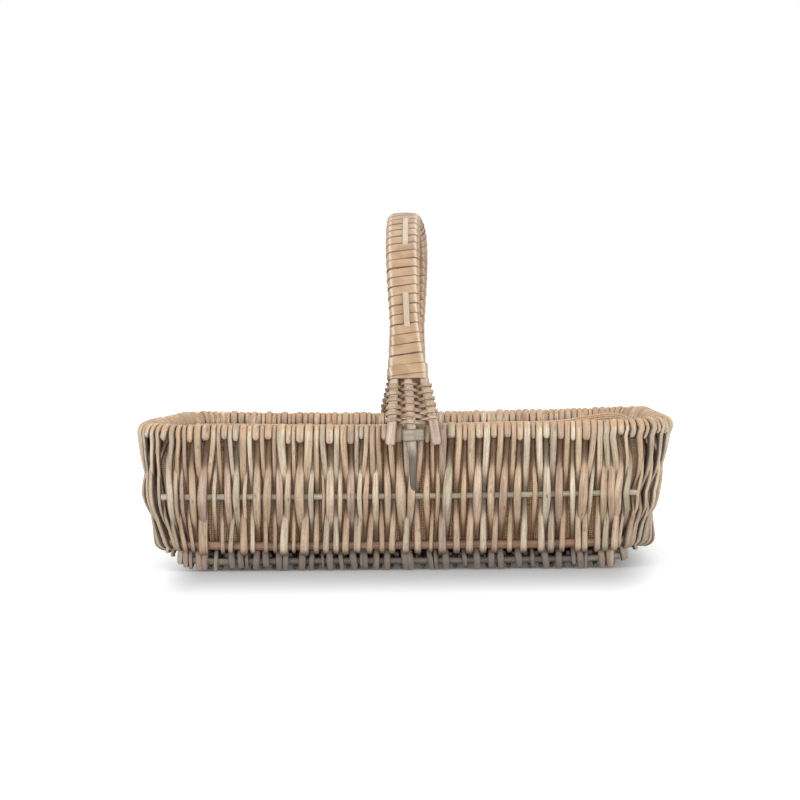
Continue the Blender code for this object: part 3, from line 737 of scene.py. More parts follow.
def long_rail(i):
    """From the rod's tucked end behind the rim to its foot under the base hoop."""
    half = pairs[i][0]
    depth = half * ROD_DEPTH_SHARE + TIGHT
    rim = over_rim()
    below = (rim[-1][0] - 0.0003, HOOP_HEIGHT - 0.006)
    at_mid = (lean(MID_RIB_HEIGHT) - MID_RIB_RADIUS - depth, MID_RIB_HEIGHT)
    foot = round_rod(BASE_HOOP_OUT, BASE_HOOP_HEIGHT, BASE_HOOP_RADIUS + depth, FOOT_TURNS)
    profile = [(rim[0][0] + 0.0004, TUCKED_END, half * 0.8)]
    profile += [(*point, half * squeeze) for point in (*rim, below)]
    profile += with_half(straight(below, at_mid, (0.35, 0.68)), half, (1, 0.94))
    profile.append((*at_mid, half * 0.92))
    profile += with_half(straight(at_mid, foot[0], (0.36, 0.70)), half, (0.94, 1.04))
    profile += with_half(foot, half, (1.14, 1.14, 1, 0.9, 0.6))
    levels = [(RIM_LEVEL, long_tops[i]), (MID_RIB_HEIGHT, long_middles[i])]
    levels.append((BASE_HOOP_HEIGHT, long_feet[i]))
    return wall_rail(profile, levels)


def short_rail(i):
    """Built from the foot up to the rim, then put in the other order. At the basket's ends it has no stub."""
    _, looped, half = pairs[i]
    depth = half * ROD_DEPTH_SHARE + TIGHT
    past = past_straight(short_feet[i])
    if past < STUB_REACH:
        butt = min(half * 1.12, STUB_HALF)
        rib_out = lean(BASE_RIB_HEIGHT) + BASE_RIB_RADIUS + butt * ROD_DEPTH_SHARE + TIGHT
        rise = STUB_CORNER_RISE * max(past / STUB_REACH, 0) ** 1.5
        low = STUB_LOW + STUB_SPREAD * draw.random() ** 3 + rise
        profile = [(rib_out, low, butt * 0.86), (rib_out, low + 0.0028, butt)]
        if low < BASE_RIB_HEIGHT - 0.004:
            profile.append((rib_out, BASE_RIB_HEIGHT + 0.0010, butt * 1.04))
        profile.append((rib_out - 0.0030, BASE_RIB_HEIGHT + 0.0068, butt))
    else:
        under = round_rod(BASE_HOOP_OUT, BASE_HOOP_HEIGHT, BASE_HOOP_RADIUS + depth, UNDER_TURNS)
        profile = with_half(under, half, (0.6, 0.95, 1))
    inside_hoop = (BASE_HOOP_OUT - BASE_HOOP_RADIUS - depth, BASE_HOOP_HEIGHT)
    at_mid = (lean(MID_RIB_HEIGHT) + MID_RIB_RADIUS + depth, MID_RIB_HEIGHT)
    rim = over_rim()
    before = (rim[0][0], HOOP_HEIGHT - 0.007)
    profile.append((*inside_hoop, half * 1.03))
    profile += with_half(straight(inside_hoop, at_mid, (0.33, 0.68)), half, (0.96, 1.14))
    profile.append((*at_mid, half * 1.32))
    profile += with_half(straight(at_mid, before, (0.32, 0.68)), half, (1.14, 0.96))
    profile.append((*before, half * 0.95))
    if looped:
        end = LOOP_END + draw.uniform(*LOOP_END_SPREAD)
        profile += [(*point, half * squeeze) for point in rim]
        profile.append((rim[-1][0] - 0.0001, end + 0.0020, half * squeeze))
        profile.append((rim[-1][0] - 0.0006, end, half * 0.65))
    else:
        profile += with_half(rim, half, (0.95, 0.7))
    profile.reverse()
    levels = [(RIM_LEVEL, short_tops[i]), (MID_RIB_HEIGHT, short_middles[i])]
    levels += [(BASE_HOOP_HEIGHT, short_feet[i]), (0.0, short_feet[i] + draw.uniform(*STUB_SWAY))]
    return wall_rail(profile, levels)


panels = [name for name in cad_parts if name.startswith("weave_") and name != "weave_base"]
for name, rail_of, seed, stood_for in (
    ("wall_long_rods", long_rail, 11, panels),
    ("wall_short_rods", short_rail, 12, []),
):
    rails = [rail_of(i) for i in range(PAIRS)]
    rods = rods_on_rails(
        name, rails, wall_willow, thickness=ROD_DEPTH_SHARE, uneven=0.09, seed=seed, square=WALL_SQUARENESS
    )
    fit(rods, "willow_strands", *stood_for)


# The bow handle. Three peeled sticks lie side by side over the top and spread apart at both feet. The
# side sticks end outside the rim, and the middle one tapers on down the wall to the mid rib.
STICK_RADIUS = 0.00425
STICK_TIP_RADIUS = 0.0023
STICK_PITCH = 0.0088
STICK_FOOT_HEIGHT = 0.1105
STICK_STEPS = 60
STICK_ENDS = ((0, 0.66), (0.0008, 0.92), (0.0022, 1.05), (0.0065, 1.06))
FOOT_SPREAD = 0.0194
SPREAD_LENGTH = 0.115
BOW_REACH = 0.15455
BOW_FOOT = 0.128
BOW_TOP = 0.3133
BOW_POWER = 2.1
BOW_STEPS = 96
BOW_ASIDE = -0.0025
BOW_SKEW = 0.0100
BOW_TWIST = 0.0042
SIDE_STICK_SHIFT = 0.0016
WAIST_DEPTH = 0.15
WAIST_PLACE = 0.110
WAIST_REACH = 0.055
TAIL_TOP_X = 0.0086
TAIL_TIP_X = 0.0076
TAIL_TIP_HEIGHT = 0.0705
TAIL_TIP_OUT = -0.0010
TAIL_RISE_OUT = 0.0152
bow_outline = [Vector((-BOW_REACH, STICK_FOOT_HEIGHT))]
for i in range(2 * BOW_STEPS + 1):
    share = i / BOW_STEPS - 1
    height = BOW_FOOT + (BOW_TOP - BOW_FOOT) * (1 - abs(share) ** BOW_POWER)
    bow_outline.append(Vector((BOW_REACH * share, height)))
bow_outline.append(Vector((BOW_REACH, STICK_FOOT_HEIGHT)))
bow_distances = [0.0]
for near, far in zip(bow_outline, bow_outline[1:]):
    bow_distances.append(bow_distances[-1] + (far - near).length)
BOW_LENGTH = bow_distances[-1]


def bow_at(distance):
    """The point of the bow's outline at a distance along it from its front foot, as (y, z)."""
    distance = min(max(distance, 0), BOW_LENGTH)
    i = 1
    while bow_distances[i] < distance and i < len(bow_distances) - 1:
        i += 1
    share = (distance - bow_distances[i - 1]) / (bow_distances[i] - bow_distances[i - 1])
    return bow_outline[i - 1].lerp(bow_outline[i], share)


def askew(y):
    """The bow is askew: it stands off towards +X in front and towards -X behind, and its top twists."""
    if y < 0:
        return BOW_ASIDE - BOW_SKEW * (y / BOW_REACH) ** 3
    return BOW_ASIDE + BOW_TWIST * step_between(y, 0, 0.06) - (BOW_SKEW + BOW_TWIST) * (y / BOW_REACH) ** 4


def bow_point(distance, x, outward):
    """A point beside the bow, and the direction along the bow there."""
    way = (bow_at(distance + STICK_RADIUS) - bow_at(distance - STICK_RADIUS)).normalized()
    middle = bow_at(distance)
    point = middle + Vector((-way.y, way.x)) * outward
    return Vector((x + askew(middle.x), point.x, point.y)), Vector((0, way.x, way.y))


def from_foot(distance):
    return min(distance, BOW_LENGTH - distance)


def near_foot(distance):
    """1 at both feet, and 0 from where the sticks have come together."""
    return max(1 - from_foot(distance) / SPREAD_LENGTH, 0)


def waist(distance):
    """The grip is widest on top, and its legs are slimmest half way down."""
    return 1.04 - WAIST_DEPTH * hump(from_foot(distance), WAIST_PLACE, WAIST_REACH)


def spread_at(distance):
    """How far the side sticks lie from the middle one."""
    spread = STICK_PITCH + (FOOT_SPREAD - STICK_PITCH) * near_foot(distance) ** 1.2
    return spread * waist(distance)


def stick_x(distance, stick):
    """Where a stick lies across the handle. Both side sticks shift towards +X in front and -X behind."""
    shift = SIDE_STICK_SHIFT * near_foot(distance)
    if distance > BOW_LENGTH / 2:
        shift = -shift
    return stick * spread_at(distance) + abs(stick) * shift


def distance_at_height(height):
    i = next(i for i, point in enumerate(bow_outline) if point.y >= height and i > 0)
    share = (height - bow_outline[i - 1].y) / (bow_outline[i].y - bow_outline[i - 1].y)
    return bow_distances[i - 1] + share * (bow_distances[i] - bow_distances[i - 1])


stick_rails = []
for side in (-1, 1):
    stops = [*STICK_ENDS]
    stops += [(BOW_LENGTH * i / STICK_STEPS, 1) for i in range(1, STICK_STEPS)]
    stops += [(BOW_LENGTH - distance, share) for distance, share in reversed(STICK_ENDS)]
    rail = []
    for distance, share in stops:
        girth = STICK_RADIUS * waist(distance) * share
        rail.append((bow_point(distance, stick_x(distance, side), 0)[0], girth, ALONG_X))
    stick_rails.append(rail)
rail = []
for side in (-1, 1):
    tail = []
    for share in (0.0, 0.25, 0.5, 0.75):
        height = TAIL_TIP_HEIGHT + (STICK_FOOT_HEIGHT - TAIL_TIP_HEIGHT) * share
        radius = STICK_TIP_RADIUS + (STICK_RADIUS - STICK_TIP_RADIUS) * share
        outward = TAIL_TIP_OUT + TAIL_RISE_OUT * share ** 1.2
        x = -side * (TAIL_TIP_X + (TAIL_TOP_X - TAIL_TIP_X) * share)
        point = Vector((x, side * (STRAIGHT_Y + HOOP_CORNER + outward), height))
        # The tail carries painted shade all along, most at its tip.
        tail.append((point, radius, ALONG_X, 0.85 - 0.2 * share))
    if side < 0:
        rail += tail
        for i in range(STICK_STEPS + 1):
            distance = BOW_LENGTH * i / STICK_STEPS
            rail.append((bow_point(distance, 0, 0)[0], STICK_RADIUS * waist(distance), ALONG_X))
    else:
        rail += reversed(tail)
stick_rails.append(rail)
stick_tones = [(0.74, 0.58, 0.45), (0.60, 0.44, 0.36), (0.57, 0.52, 0.44)]
stick_willow = willow("peeled_sticks", stick_tones, (0.34, 0.28, 0.23), sunk_shade=(0.15, 0.14, 0.13))
sticks = rods_on_rails("bow_stick_rods", stick_rails, stick_willow, uneven=0.03, sides=14, seed=2)
fit(sticks, "handle_sticks", "bow_stick_left", "bow_stick_middle", "bow_stick_right")


# The cane binding. One flat strip of cane is wound round the three sticks from each foot to the top, its
# turns side by side, over a leading strip of cane that shows where it lies over a few turns.
CANE_HALF = 0.00478
CANE_THICKNESS = 0.0012
CANE_PITCH = 0.0098
CANE_SEAT = STICK_RADIUS + 0.0006
CANE_UNEVEN = 0.0009
BINDING_FOOT = 0.1655
BINDING_TOP_GAP = 0.0002
TURN_STEPS = 52
TUCK = 0.0007
TOP_REACH = 0.075


def cane_finish(name, tones, painted_highlight):
    """Split cane: satin, with fine lines along it, a painted highlight at bends and painted shade at its
    edges.
    """
    material, tree, shader = new_material(name)
    across = parts_of(tree, attribute(tree, "across", "Vector"))
    place = node(tree, "ShaderNodeTexCoord").outputs["Object"]
    rod = times(tree, attribute(tree, "rod"), 4.1)
    along = times(tree, attribute(tree, "along"), 28.0)
    fibre = cloudy(tree, vector_of(tree, times(tree, across[0], 7.0), rod, along), 1.0, 5.0, 0.6)
    drift = cloudy(tree, place, 48.0, 2.0)
    base = ramp(tree, drift, [(0.34, tones[0]), (0.52, tones[1]), (0.68, tones[2])])
    base = mix(tree, band(tree, fibre, 0.44, 0.68), base, (0.80, 0.77, 0.72), "MULTIPLY")
    # Painted highlight where the strip bends over the sticks' edges.
    painted_light = band(tree, attribute(tree, "painted_light"), 0.10, 0.95)
    base = mix(tree, times(tree, painted_light, 0.72), base, painted_highlight)
    # Painted shade: a dark line along the strip's edges, where its turns meet.
    edge = band(tree, math_node(tree, "ABSOLUTE", across[0]), 0.80, 0.98)
    base = mix(tree, times(tree, edge, 0.78), base, (0.18, 0.11, 0.07))
    gloss = math_node(tree, "MULTIPLY_ADD", fibre, 0.30, 0.28)
    surface(tree, shader, base, gloss, fibre, 0.35, 0.0003)
    return material


cane_tones = [(0.50, 0.32, 0.185), (0.56, 0.38, 0.235), (0.44, 0.275, 0.155)]
cane = cane_finish("split_cane", cane_tones, (0.86, 0.74, 0.60))


def round_sticks(share, distance, seat):
    """(x, outward, painted highlight) on the flat oval round the three sticks. share counts turns from the -X
    edge.
    """
    half = spread_at(distance)
    arc = math.pi * seat
    flat = 2 * half
    path = (share % 1.0) * 2 * (arc + flat) - arc / 2
    stretches = ((arc / 2, half, 0), (flat, half, None), (arc, -half, math.pi / 2), (flat, -half, None))
    for number, (length, middle, angle) in enumerate(stretches):
        if path < length:
            break
        path -= length
    if angle is None:
        side = 1 if number == 1 else -1
        # On the flats, only a faint painted highlight next to the edges.
        painted_light = 0.1 * math.exp(-min(path, length - path) / 0.0012)
        return -(middle - side * path), side * seat, painted_light
    turn = angle + path / seat
    # The painted highlight lies on each rounded edge, about 30 degrees round from the face.
    painted_light = hump(abs(math.sin(turn)), 0.88, 0.10)
    return -(middle + seat * math.cos(turn)), seat * math.sin(turn), painted_light


def turn_middle(start, seed, turn):
    """How far along the bow the strip's middle is, after a number of turns."""
    return start + CANE_HALF + turn * CANE_PITCH + noise.noise(Vector((seed, turn * 1.3, 0))) * CANE_UNEVEN


def binding_rail(start, end, seed):
    """At both ends the strip makes one level turn, and the turn beside it lies over that one."""
    turns = (end - start - 2 * CANE_HALF) / CANE_PITCH
    rail = []
    for i in range(int((turns + 2) * TURN_STEPS) + 1):
        turn = i / TURN_STEPS - 1
        distance = turn_middle(start, seed, min(max(turn, 0), turns))
        tucked = step_between(max(-turn, turn - turns), 0, 0.12)
        loose = 0.0002 * noise.noise(Vector((seed + 9, turn * 0.9, 0)))
        seat = waist(distance) * CANE_SEAT + CANE_THICKNESS / 2 + loose
        x, outward, painted_light = round_sticks(turn, distance, seat - TUCK * tucked)
        over_top = max(1 - abs(distance - BOW_LENGTH / 2) / TOP_REACH, 0)
        outward *= 1 + over_top * (0.10 - 0.30 * min(abs(x) / (spread_at(distance) + seat), 1) ** 2)
        point, way = bow_point(distance, x, outward)
        rail.append((point, CANE_HALF, way, painted_light))
    return rail


def cane_strip(name, rail, finish, half, **settings):
    """One strip of cane, with rounded edges."""
    return rods_on_rails(
        name, [rail], finish, thickness=CANE_THICKNESS / 2 / half, sides=2, tree=FLAT_STRIP, **settings
    )


foot_distance = distance_at_height(BINDING_FOOT)
for name, start, end in (
    ("front", foot_distance, BOW_LENGTH / 2 - BINDING_TOP_GAP),
    ("back", BOW_LENGTH / 2 + BINDING_TOP_GAP, BOW_LENGTH - foot_distance),
):
    rail = binding_rail(start, end, len(name))
    strip = cane_strip(f"cane_binding_{name}", rail, cane, CANE_HALF, uneven=0.01, steps=1, seed=6)
    fit(strip, "cane", f"binding_{name}")


# The leading strip. A narrower, paler strip of cane runs along the front of the handle under the binding,
# and comes out over a few turns near the top and half way down the front leg.
LEADER_HALF = 0.0028
LEG_LEADER_HEIGHT = 0.212
LEG_LEADER_TURNS = 3
TOP_LEADER_START = 0.028
TOP_LEADER_TURNS = 4
LEADER_LIFT = CANE_SEAT + CANE_THICKNESS * 1.75
LEADER_DIP = 0.0030
leader_tones = [(0.58, 0.45, 0.33), (0.66, 0.54, 0.42), (0.52, 0.38, 0.27)]
leader_cane = cane_finish("leader_cane", leader_tones, (0.78, 0.68, 0.56))


def gap_below(turn):
    """Where the gap under a turn of the front binding crosses the middle of the front."""
    half = spread_at(turn_middle(foot_distance, len("front"), turn))
    arc = math.pi * (CANE_SEAT + CANE_THICKNESS / 2)
    crossing = (arc + half) / (2 * (arc + 2 * half))
    near, far = (turn_middle(foot_distance, len("front"), turn + crossing + step) for step in (-1, 0))
    return (near + far) / 2


def leader_rail(first_turn, last_turn, aside):
    """Out of one gap, over the turns between, and down into another gap."""
    start, end = gap_below(first_turn), gap_below(last_turn)
    places = [(start - LEADER_DIP, CANE_SEAT), (start, LEADER_LIFT - 0.0004)]
    places.append((start + LEADER_DIP, LEADER_LIFT))
    places += [(start + (end - start) * share, LEADER_LIFT) for share in (0.3, 0.5, 0.7)]
    places.append((end - LEADER_DIP, LEADER_LIFT))
    places += [(end, LEADER_LIFT - 0.0004), (end + LEADER_DIP, CANE_SEAT)]
    # The leading strip carries a faint painted highlight all along.
    return [(bow_point(distance, aside, lift)[0], LEADER_HALF, ALONG_X, 0.3) for distance, lift in places]


def turn_at(distance):
    turn = 0
    while gap_below(turn) < distance:
        turn += 1
    return turn


leg_turn = turn_at(distance_at_height(LEG_LEADER_HEIGHT))
top_turn = turn_at(BOW_LENGTH / 2 - TOP_LEADER_START) - 1
for place, first_turn, last_turn, aside, seed in (
    ("leg", leg_turn, leg_turn + LEG_LEADER_TURNS, 0.0018, 3),
    ("top", top_turn - TOP_LEADER_TURNS, top_turn, 0.0026, 4),
):
    rail = leader_rail(first_turn, last_turn, aside)
    leader = cane_strip(f"leader_{place}", rail, leader_cane, LEADER_HALF, uneven=0.02, steps=4, seed=seed)
    fit(leader, "cane", f"lace_{place}")


# The fine willow at the handle's feet. Split rods are woven in and out of the three sticks, row over
# row, each turning round the outer stick into the next row.
SPLIT_HALF = 0.0027
SPLIT_SHARE = 0.28
SPLIT_ROWS = 13
SPLIT_PITCH = 0.0030
SPLIT_PATH = ((-0.95, 0.40, 0.80), (-0.45, 0.98, 1.0), (0.45, 0.98, 1.0), (0.95, 0.40, 0.80))
split_tones = [(0.63, 0.445, 0.30), (0.55, 0.39, 0.265), (0.72, 0.56, 0.41), (0.51, 0.405, 0.30)]
split_willow = willow(
    "split_willow", split_tones, (0.19, 0.130, 0.095), roughness=0.21, sunk_shade=(0.34, 0.27, 0.22)
)


def foot_rail(mirrored, seed):
    """One rod round all rows. SPLIT_PATH lists (across a stick, lift over it, share of the width)."""
    draw = random.Random(seed)
    stand_off = STICK_RADIUS + SPLIT_HALF * SPLIT_SHARE
    path = []
    for row in range(SPLIT_ROWS):
        width = draw.uniform(0.72, 1.06)
        way = 1 if row % 2 == 0 else -1
        top = foot_distance - 0.0020 - row * SPLIT_PITCH
        for k, stick in enumerate((-1, 0, 1)):
            face = 1 if (stick % 2 == 0) == (row % 2 == 0) else -1
            sag = draw.uniform(-0.0005, 0.0005)
            for part, lift, share in SPLIT_PATH:
                distance = top - SPLIT_PITCH * 0.8 * (k + (part + 1) / 2) / 3 + sag
                x = stick_x(distance, way * stick) + way * part * STICK_RADIUS
                path.append((distance, x, face * stand_off * lift, share * width))
        if row < SPLIT_ROWS - 1:
            distance = top - SPLIT_PITCH * 0.9
            x = stick_x(distance, way) + way * (STICK_RADIUS + SPLIT_HALF * 0.45)
            path.append((distance, x, 0, 0.7))
    rail = []
    for distance, x, outward, share in path:
        if mirrored:
            distance, x = BOW_LENGTH - distance, -x
        point, way = bow_point(distance, x, outward)
        # Painted shade where a split rod passes behind a stick.
        rail.append((point, SPLIT_HALF * share, way, clamped(0.55 - outward / stand_off)))
    return rail


for name, mirrored in (("front", False), ("back", True)):
    rail = foot_rail(mirrored, 31)
    weave = rods_on_rails(
        f"foot_split_rods_{name}", [rail], split_willow, thickness=SPLIT_SHARE, uneven=0.10,
        sides=10, seed=8,
    )
    fit(weave, "willow_strands", f"foot_weave_{name}")


# The ties. Under the fine willow, a broad split rod of grey willow is passed round the middle stick and
# through the wall on both sides of it, which holds the stick's tail to the rim.
TIE_HEIGHT = 0.1192
TIE_HALF = 0.0053
TIE_SHARE = 0.16
TIE_PATH = (
    (0.0002, 0.1470),
    (0.0006, 0.1545),
    (0.0022, 0.1592),
    (0.0058, 0.1604),
    (0.0094, 0.1592),
    (0.0112, 0.1560),
    (0.0130, 0.1552),
    (0.0160, 0.1550),
    (0.0175, 0.1530),
    (0.0180, 0.1460),
)
tie_rails = []
for side in (-1, 1):
    # Each tie carries a little painted shade all along.
    tie_rails.append([(Vector((-side * x, side * y, TIE_HEIGHT)), TIE_HALF, UP, 0.3) for x, y in TIE_PATH])
tie_willow = willow("grey_split_willow", [(0.50, 0.45, 0.35), (0.45, 0.40, 0.31)], (0.27, 0.235, 0.19))
ties = rods_on_rails(
    "foot_ties", tie_rails, tie_willow, thickness=TIE_SHARE, uneven=0.06, steps=3, sides=3, seed=6,
    tree=FLAT_STRIP,
)
fit(ties, "willow_ribs")


# The lining. A tray of coarse brown hessian, slack enough to show soft folds, hangs inside the wall from
# its hem and lies on the woven base.
LINING_THICKNESS = 0.0010
LINING_TOP = 0.1162
LINING_TOP_OUT = -0.0112
LINING_LOW_OUT = -0.0235
LINING_FLOOR = 0.0168
LINING_RADIUS = 0.0080
LINING_COLUMNS = 240
LINING_LEVELS = 14
LINING_PULL = 0.0066
LINING_SLACK = 0.0012
LINING_HOLLOW = 0.0012
LINING_FOLD = 0.0022
LINING_FOLD_LIMIT = 0.0008
LINING_RUMPLE = 0.0011
KNEE_TURN = 30
FLOOR_RINGS = (0.88, 0.74, 0.58, 0.42, 0.26, 0.12)
THREAD_PITCH = 0.0021
column_runs = [FULL_RUN * column / LINING_COLUMNS for column in range(LINING_COLUMNS)]


def hessian(name, warp, weft, gap):
    """Plain weave of loose jute thread, with slubs, uneven colour and dark gaps between the threads."""
    material, tree, shader = new_material(name)
    cloth = flow(tree, "ShaderNodeUVMap", uv_map="cloth")
    stray = vector_node(tree, "SCALE", {0: cloudy(tree, cloth, 60.0, 2.0, output="Color"), "Scale": 0.0012})
    place = vector_node(tree, "ADD", {0: cloth, 1: stray})
    place = vector_node(tree, "SCALE", {0: place, "Scale": 1 / THREAD_PITCH})
    waves, cells = [], []
    for part in parts_of(tree, place)[:2]:
        waves.append(math_node(tree, "ABSOLUTE", math_node(tree, "SINE", times(tree, part, math.pi))))
        cells.append(math_node(tree, "FLOOR", part))
    odd = math_node(tree, "FRACT", times(tree, math_node(tree, "ADD", *cells), 0.5))
    over = math_node(tree, "GREATER_THAN", odd, 0.25)
    thread_u = times(tree, waves[0], math_node(tree, "MULTIPLY_ADD", over, 0.45, 0.55))
    thread_v = times(tree, waves[1], math_node(tree, "MULTIPLY_ADD", over, -0.45, 1.0))
    relief = math_node(tree, "MAXIMUM", thread_u, thread_v)
    slub = band(tree, cloudy(tree, cloth, 330.0, 3.0), 0.40, 0.72)
    shade = band(tree, cloudy(tree, cloth, 26.0, 3.0), 0.32, 0.70)
    base = mix(tree, shade, warp, weft)
    base = mix(tree, slub, base, (0.74, 0.70, 0.64), "MULTIPLY")
    base = mix(tree, band(tree, relief, 0.78, 0.46), base, gap)
    surface(tree, shader, base, 0.93, relief, 0.8, 0.0006)
    shader.inputs["Sheen Weight"].default_value = 0.25
    shader.inputs["Sheen Roughness"].default_value = 0.6
    shader.inputs["Subsurface Weight"].default_value = 0.6
    shader.inputs["Subsurface Radius"].default_value = (1.0, 0.84, 0.70)
    shader.inputs["Subsurface Scale"].default_value = 0.004
    return material


brown_hessian = hessian("brown_hessian", (0.92, 0.63, 0.43), (0.80, 0.53, 0.34), (0.27, 0.165, 0.10))


def hem_top(run):
    """The hem hangs a little slack, and is pulled up at the back right corner."""
    pulled = hump(run, QUARTER_RUN + STRAIGHT_Y + CORNER_RUN * 0.85, 0.038)
    slack = noise.noise(Vector((run * 9, 4.2, 0))) * LINING_SLACK
    return LINING_TOP + LINING_PULL * pulled + slack


def cloth_piece(name, rings, uv_rows, finish, cap):
    """A surface through rings of points round the basket, with a map in metres along and down the cloth.

    Where a row's place down the cloth is None, the cloth lies flat and is mapped from above. cap closes
    the last ring.
    """
    shape = bmesh.new()
    layer = shape.loops.layers.uv.new("cloth")
    rows = [[shape.verts.new(point) for point in ring] for ring in rings]
    count = len(rows[0])
    for r, (low, high) in enumerate(zip(rows, rows[1:])):
        for i in range(count):
            j = (i + 1) % count
            face = shape.faces.new((low[i], low[j], high[j], high[i]))
            for loop, column, row in zip(face.loops, (i, i + 1, i + 1, i), (r, r, r + 1, r + 1)):
                if uv_rows[r] is None:
                    loop[layer].uv = loop.vert.co.xy
                else:
                    loop[layer].uv = (FULL_RUN * column / count, uv_rows[row] or 0)
    if cap:
        face = shape.faces.new(rows[-1])
        for loop in face.loops:
            loop[layer].uv = loop.vert.co.xy
    bmesh.ops.remove_doubles(shape, verts=shape.verts, dist=0.000001)
    bmesh.ops.recalc_face_normals(shape, faces=shape.faces)
    mesh = bpy.data.meshes.new(name)
    shape.to_mesh(mesh)
    shape.free()
    mesh.shade_smooth()
    mesh.materials.append(finish)
    return linked(name, mesh)


rings, uv_rows = [], []
for level in range(LINING_LEVELS + 1):
    share = level / LINING_LEVELS
    ring = []
    for run in column_runs:
        top = hem_top(run) - 0.0006
        knee = LINING_FLOOR + LINING_RADIUS
        height = top + (knee - top) * share
        outward = LINING_TOP_OUT + (LINING_LOW_OUT - LINING_TOP_OUT) * share
        outward -= LINING_HOLLOW * math.sin(math.pi * share)
        folds = noise.noise(Vector((run * 22, height * 14, 1.7))) * LINING_FOLD * math.sin(math.pi * share)
        ring.append(basket_point(run, outward + min(folds, LINING_FOLD_LIMIT), height))
    rings.append(ring)
    uv_rows.append(-(LINING_TOP - LINING_FLOOR) * share)
for number in (1, 2, 3):
    a = math.radians(KNEE_TURN * number)
    outward = LINING_LOW_OUT - LINING_RADIUS * (1 - math.cos(a))
    height = LINING_FLOOR + LINING_RADIUS * (1 - math.sin(a))
    rings.append([basket_point(run, outward, height) for run in column_runs])
    uv_rows.append(uv_rows[-1] - LINING_RADIUS * math.radians(KNEE_TURN))
edge_ring = rings[-1]
uv_rows[-1] = None
for inward in FLOOR_RINGS:
    ring = []
    for point in edge_ring:
        x, y = point.x * inward, point.y * inward
        rumple = noise.noise(Vector((x * 16, y * 16, 5.0))) * LINING_RUMPLE
        ring.append(Vector((x, y, LINING_FLOOR + max(rumple, -0.0002))))
    rings.append(ring)
    uv_rows.append(None)
lining = cloth_piece("hessian_lining", rings, uv_rows, brown_hessian, cap=True)
wall_cloth = lining.modifiers.new("Cloth thickness", "SOLIDIFY")
wall_cloth.thickness = LINING_THICKNESS
wall_cloth.offset = -1
fit(lining, "hessian", "lining")


# The hem. The top edge of the lining is folded outwards and back in, which leaves a band of double cloth
# along it. Its cloth is the lining's in paler colours: painted light, lifting it out of the wall's shade.
HEM_DEPTH = 0.0118
HEM_HALF = 0.0013
HEM_FLARE = 0.0013
HEM_SECTION = ((1, 0), (1, 0.5), (1, 0.94), (0.55, 1.0), (-0.55, 1.0), (-1, 0.94), (-1, 0.5), (-1, 0))
# Painted light: the lining's cloth, painted paler where the wall shades it.
hem_hessian_painted_lighter = hessian("hem_hessian_painted_lighter", (0.92, 0.70, 0.47), (0.84, 0.60, 0.38), (0.34, 0.20, 0.11))


def hem_out(depth):
    """How far out the hem's middle lies. depth is 0 at its top and 1 at its lower edge."""
    return LINING_TOP_OUT - 0.0005 - HEM_FLARE * depth


rings, uv_rows = [], []
for way, share in (*HEM_SECTION, HEM_SECTION[0]):
    drop = HEM_DEPTH * (1 - share)
    outward = hem_out(1 - share) + way * HEM_HALF
    rings.append([basket_point(run, outward, hem_top(run) - drop) for run in column_runs])
    uv_rows.append(way * HEM_HALF - drop)
hem = cloth_piece("lining_hem", rings, uv_rows, hem_hessian_painted_lighter, cap=False)
fit(hem, "hessian")


# The stitches. Coarse orange-brown thread sews the hem down near its lower edge, and each stitch shows on
# the inner face, then on the outer one.
STITCH_PITCH = 0.0052
STITCH_HALF = 0.00055
STITCH_DEPTH = 0.76
STITCH_SLANT = 0.0006
STITCH_PATH = ((0.02, -0.0005), (0.22, 0.0003), (0.78, 0.0003), (0.98, -0.0005))
stitch_count = round(FULL_RUN / STITCH_PITCH)
thread, tree, shader = new_material("orange_brown_thread")
twist = math_node(tree, "MULTIPLY_ADD", attribute(tree, "along"), 1900.0, attribute(tree, "across"))
ply = math_node(tree, "MULTIPLY_ADD", math_node(tree, "SINE", twist), 0.5, 0.5)
base = ramp(tree, ply, [(0.15, (0.36, 0.17, 0.07)), (0.60, (0.62, 0.34, 0.16)), (0.95, (0.74, 0.46, 0.24))])
fluff = band(tree, flow(tree, "ShaderNodeTexNoise", {"Scale": 900.0, "Detail": 2.0}), 0.45, 0.75)
base = mix(tree, fluff, base, (0.80, 0.76, 0.70), "MULTIPLY")
surface(tree, shader, base, 0.78, ply, 0.5, 0.0002)
stitch_rails = []
for i in range(stitch_count):
    face = 1 if i % 2 == 0 else -1
    rail = []
    for share, lift in STITCH_PATH:
        run = FULL_RUN * (i + share) / stitch_count
        outward = hem_out(STITCH_DEPTH) + face * (HEM_HALF + lift)
        height = hem_top(run) - HEM_DEPTH * STITCH_DEPTH + STITCH_SLANT * (share - 0.5)
        rail.append((basket_point(run, outward, height), STITCH_HALF, UP))
    stitch_rails.append(rail)
stitches = rods_on_rails("hem_stitches", stitch_rails, thread, thickness=0.8, uneven=0.06, sides=6, seed=15)
fit(stitches, "hessian")


# The studio. A white floor and backdrop with soft lamps, and the camera low in front of the basket. For the
# camera and in reflections the floor glows white, but less near the basket, which paints a shadow round its
# foot: long in front and behind, short at its ends.
CAMERA_DISTANCE = 1.60
CAMERA_HEIGHT = 0.200
CAMERA_ASIDE = 0.073
CAMERA_LENS = 83.7
PITCH_DOWN = math.radians(1.82)
YAW_LEFT = math.radians(2.69)
ROLL = math.radians(-0.80)
FLOOR_HALF = 30.0
FLOOR_HEIGHT = -0.0002
FOOTPRINT = (0.168, 0.135)
LAMP_AIM = Vector((0, 0, 0.1))


def seen_directly(tree):
    """1 for what the camera or a reflection sees, and 0 for light on its way to the basket."""
    rays = node(tree, "ShaderNodeLightPath").outputs
    return math_node(tree, "MAXIMUM", rays["Is Camera Ray"], rays["Is Glossy Ray"])


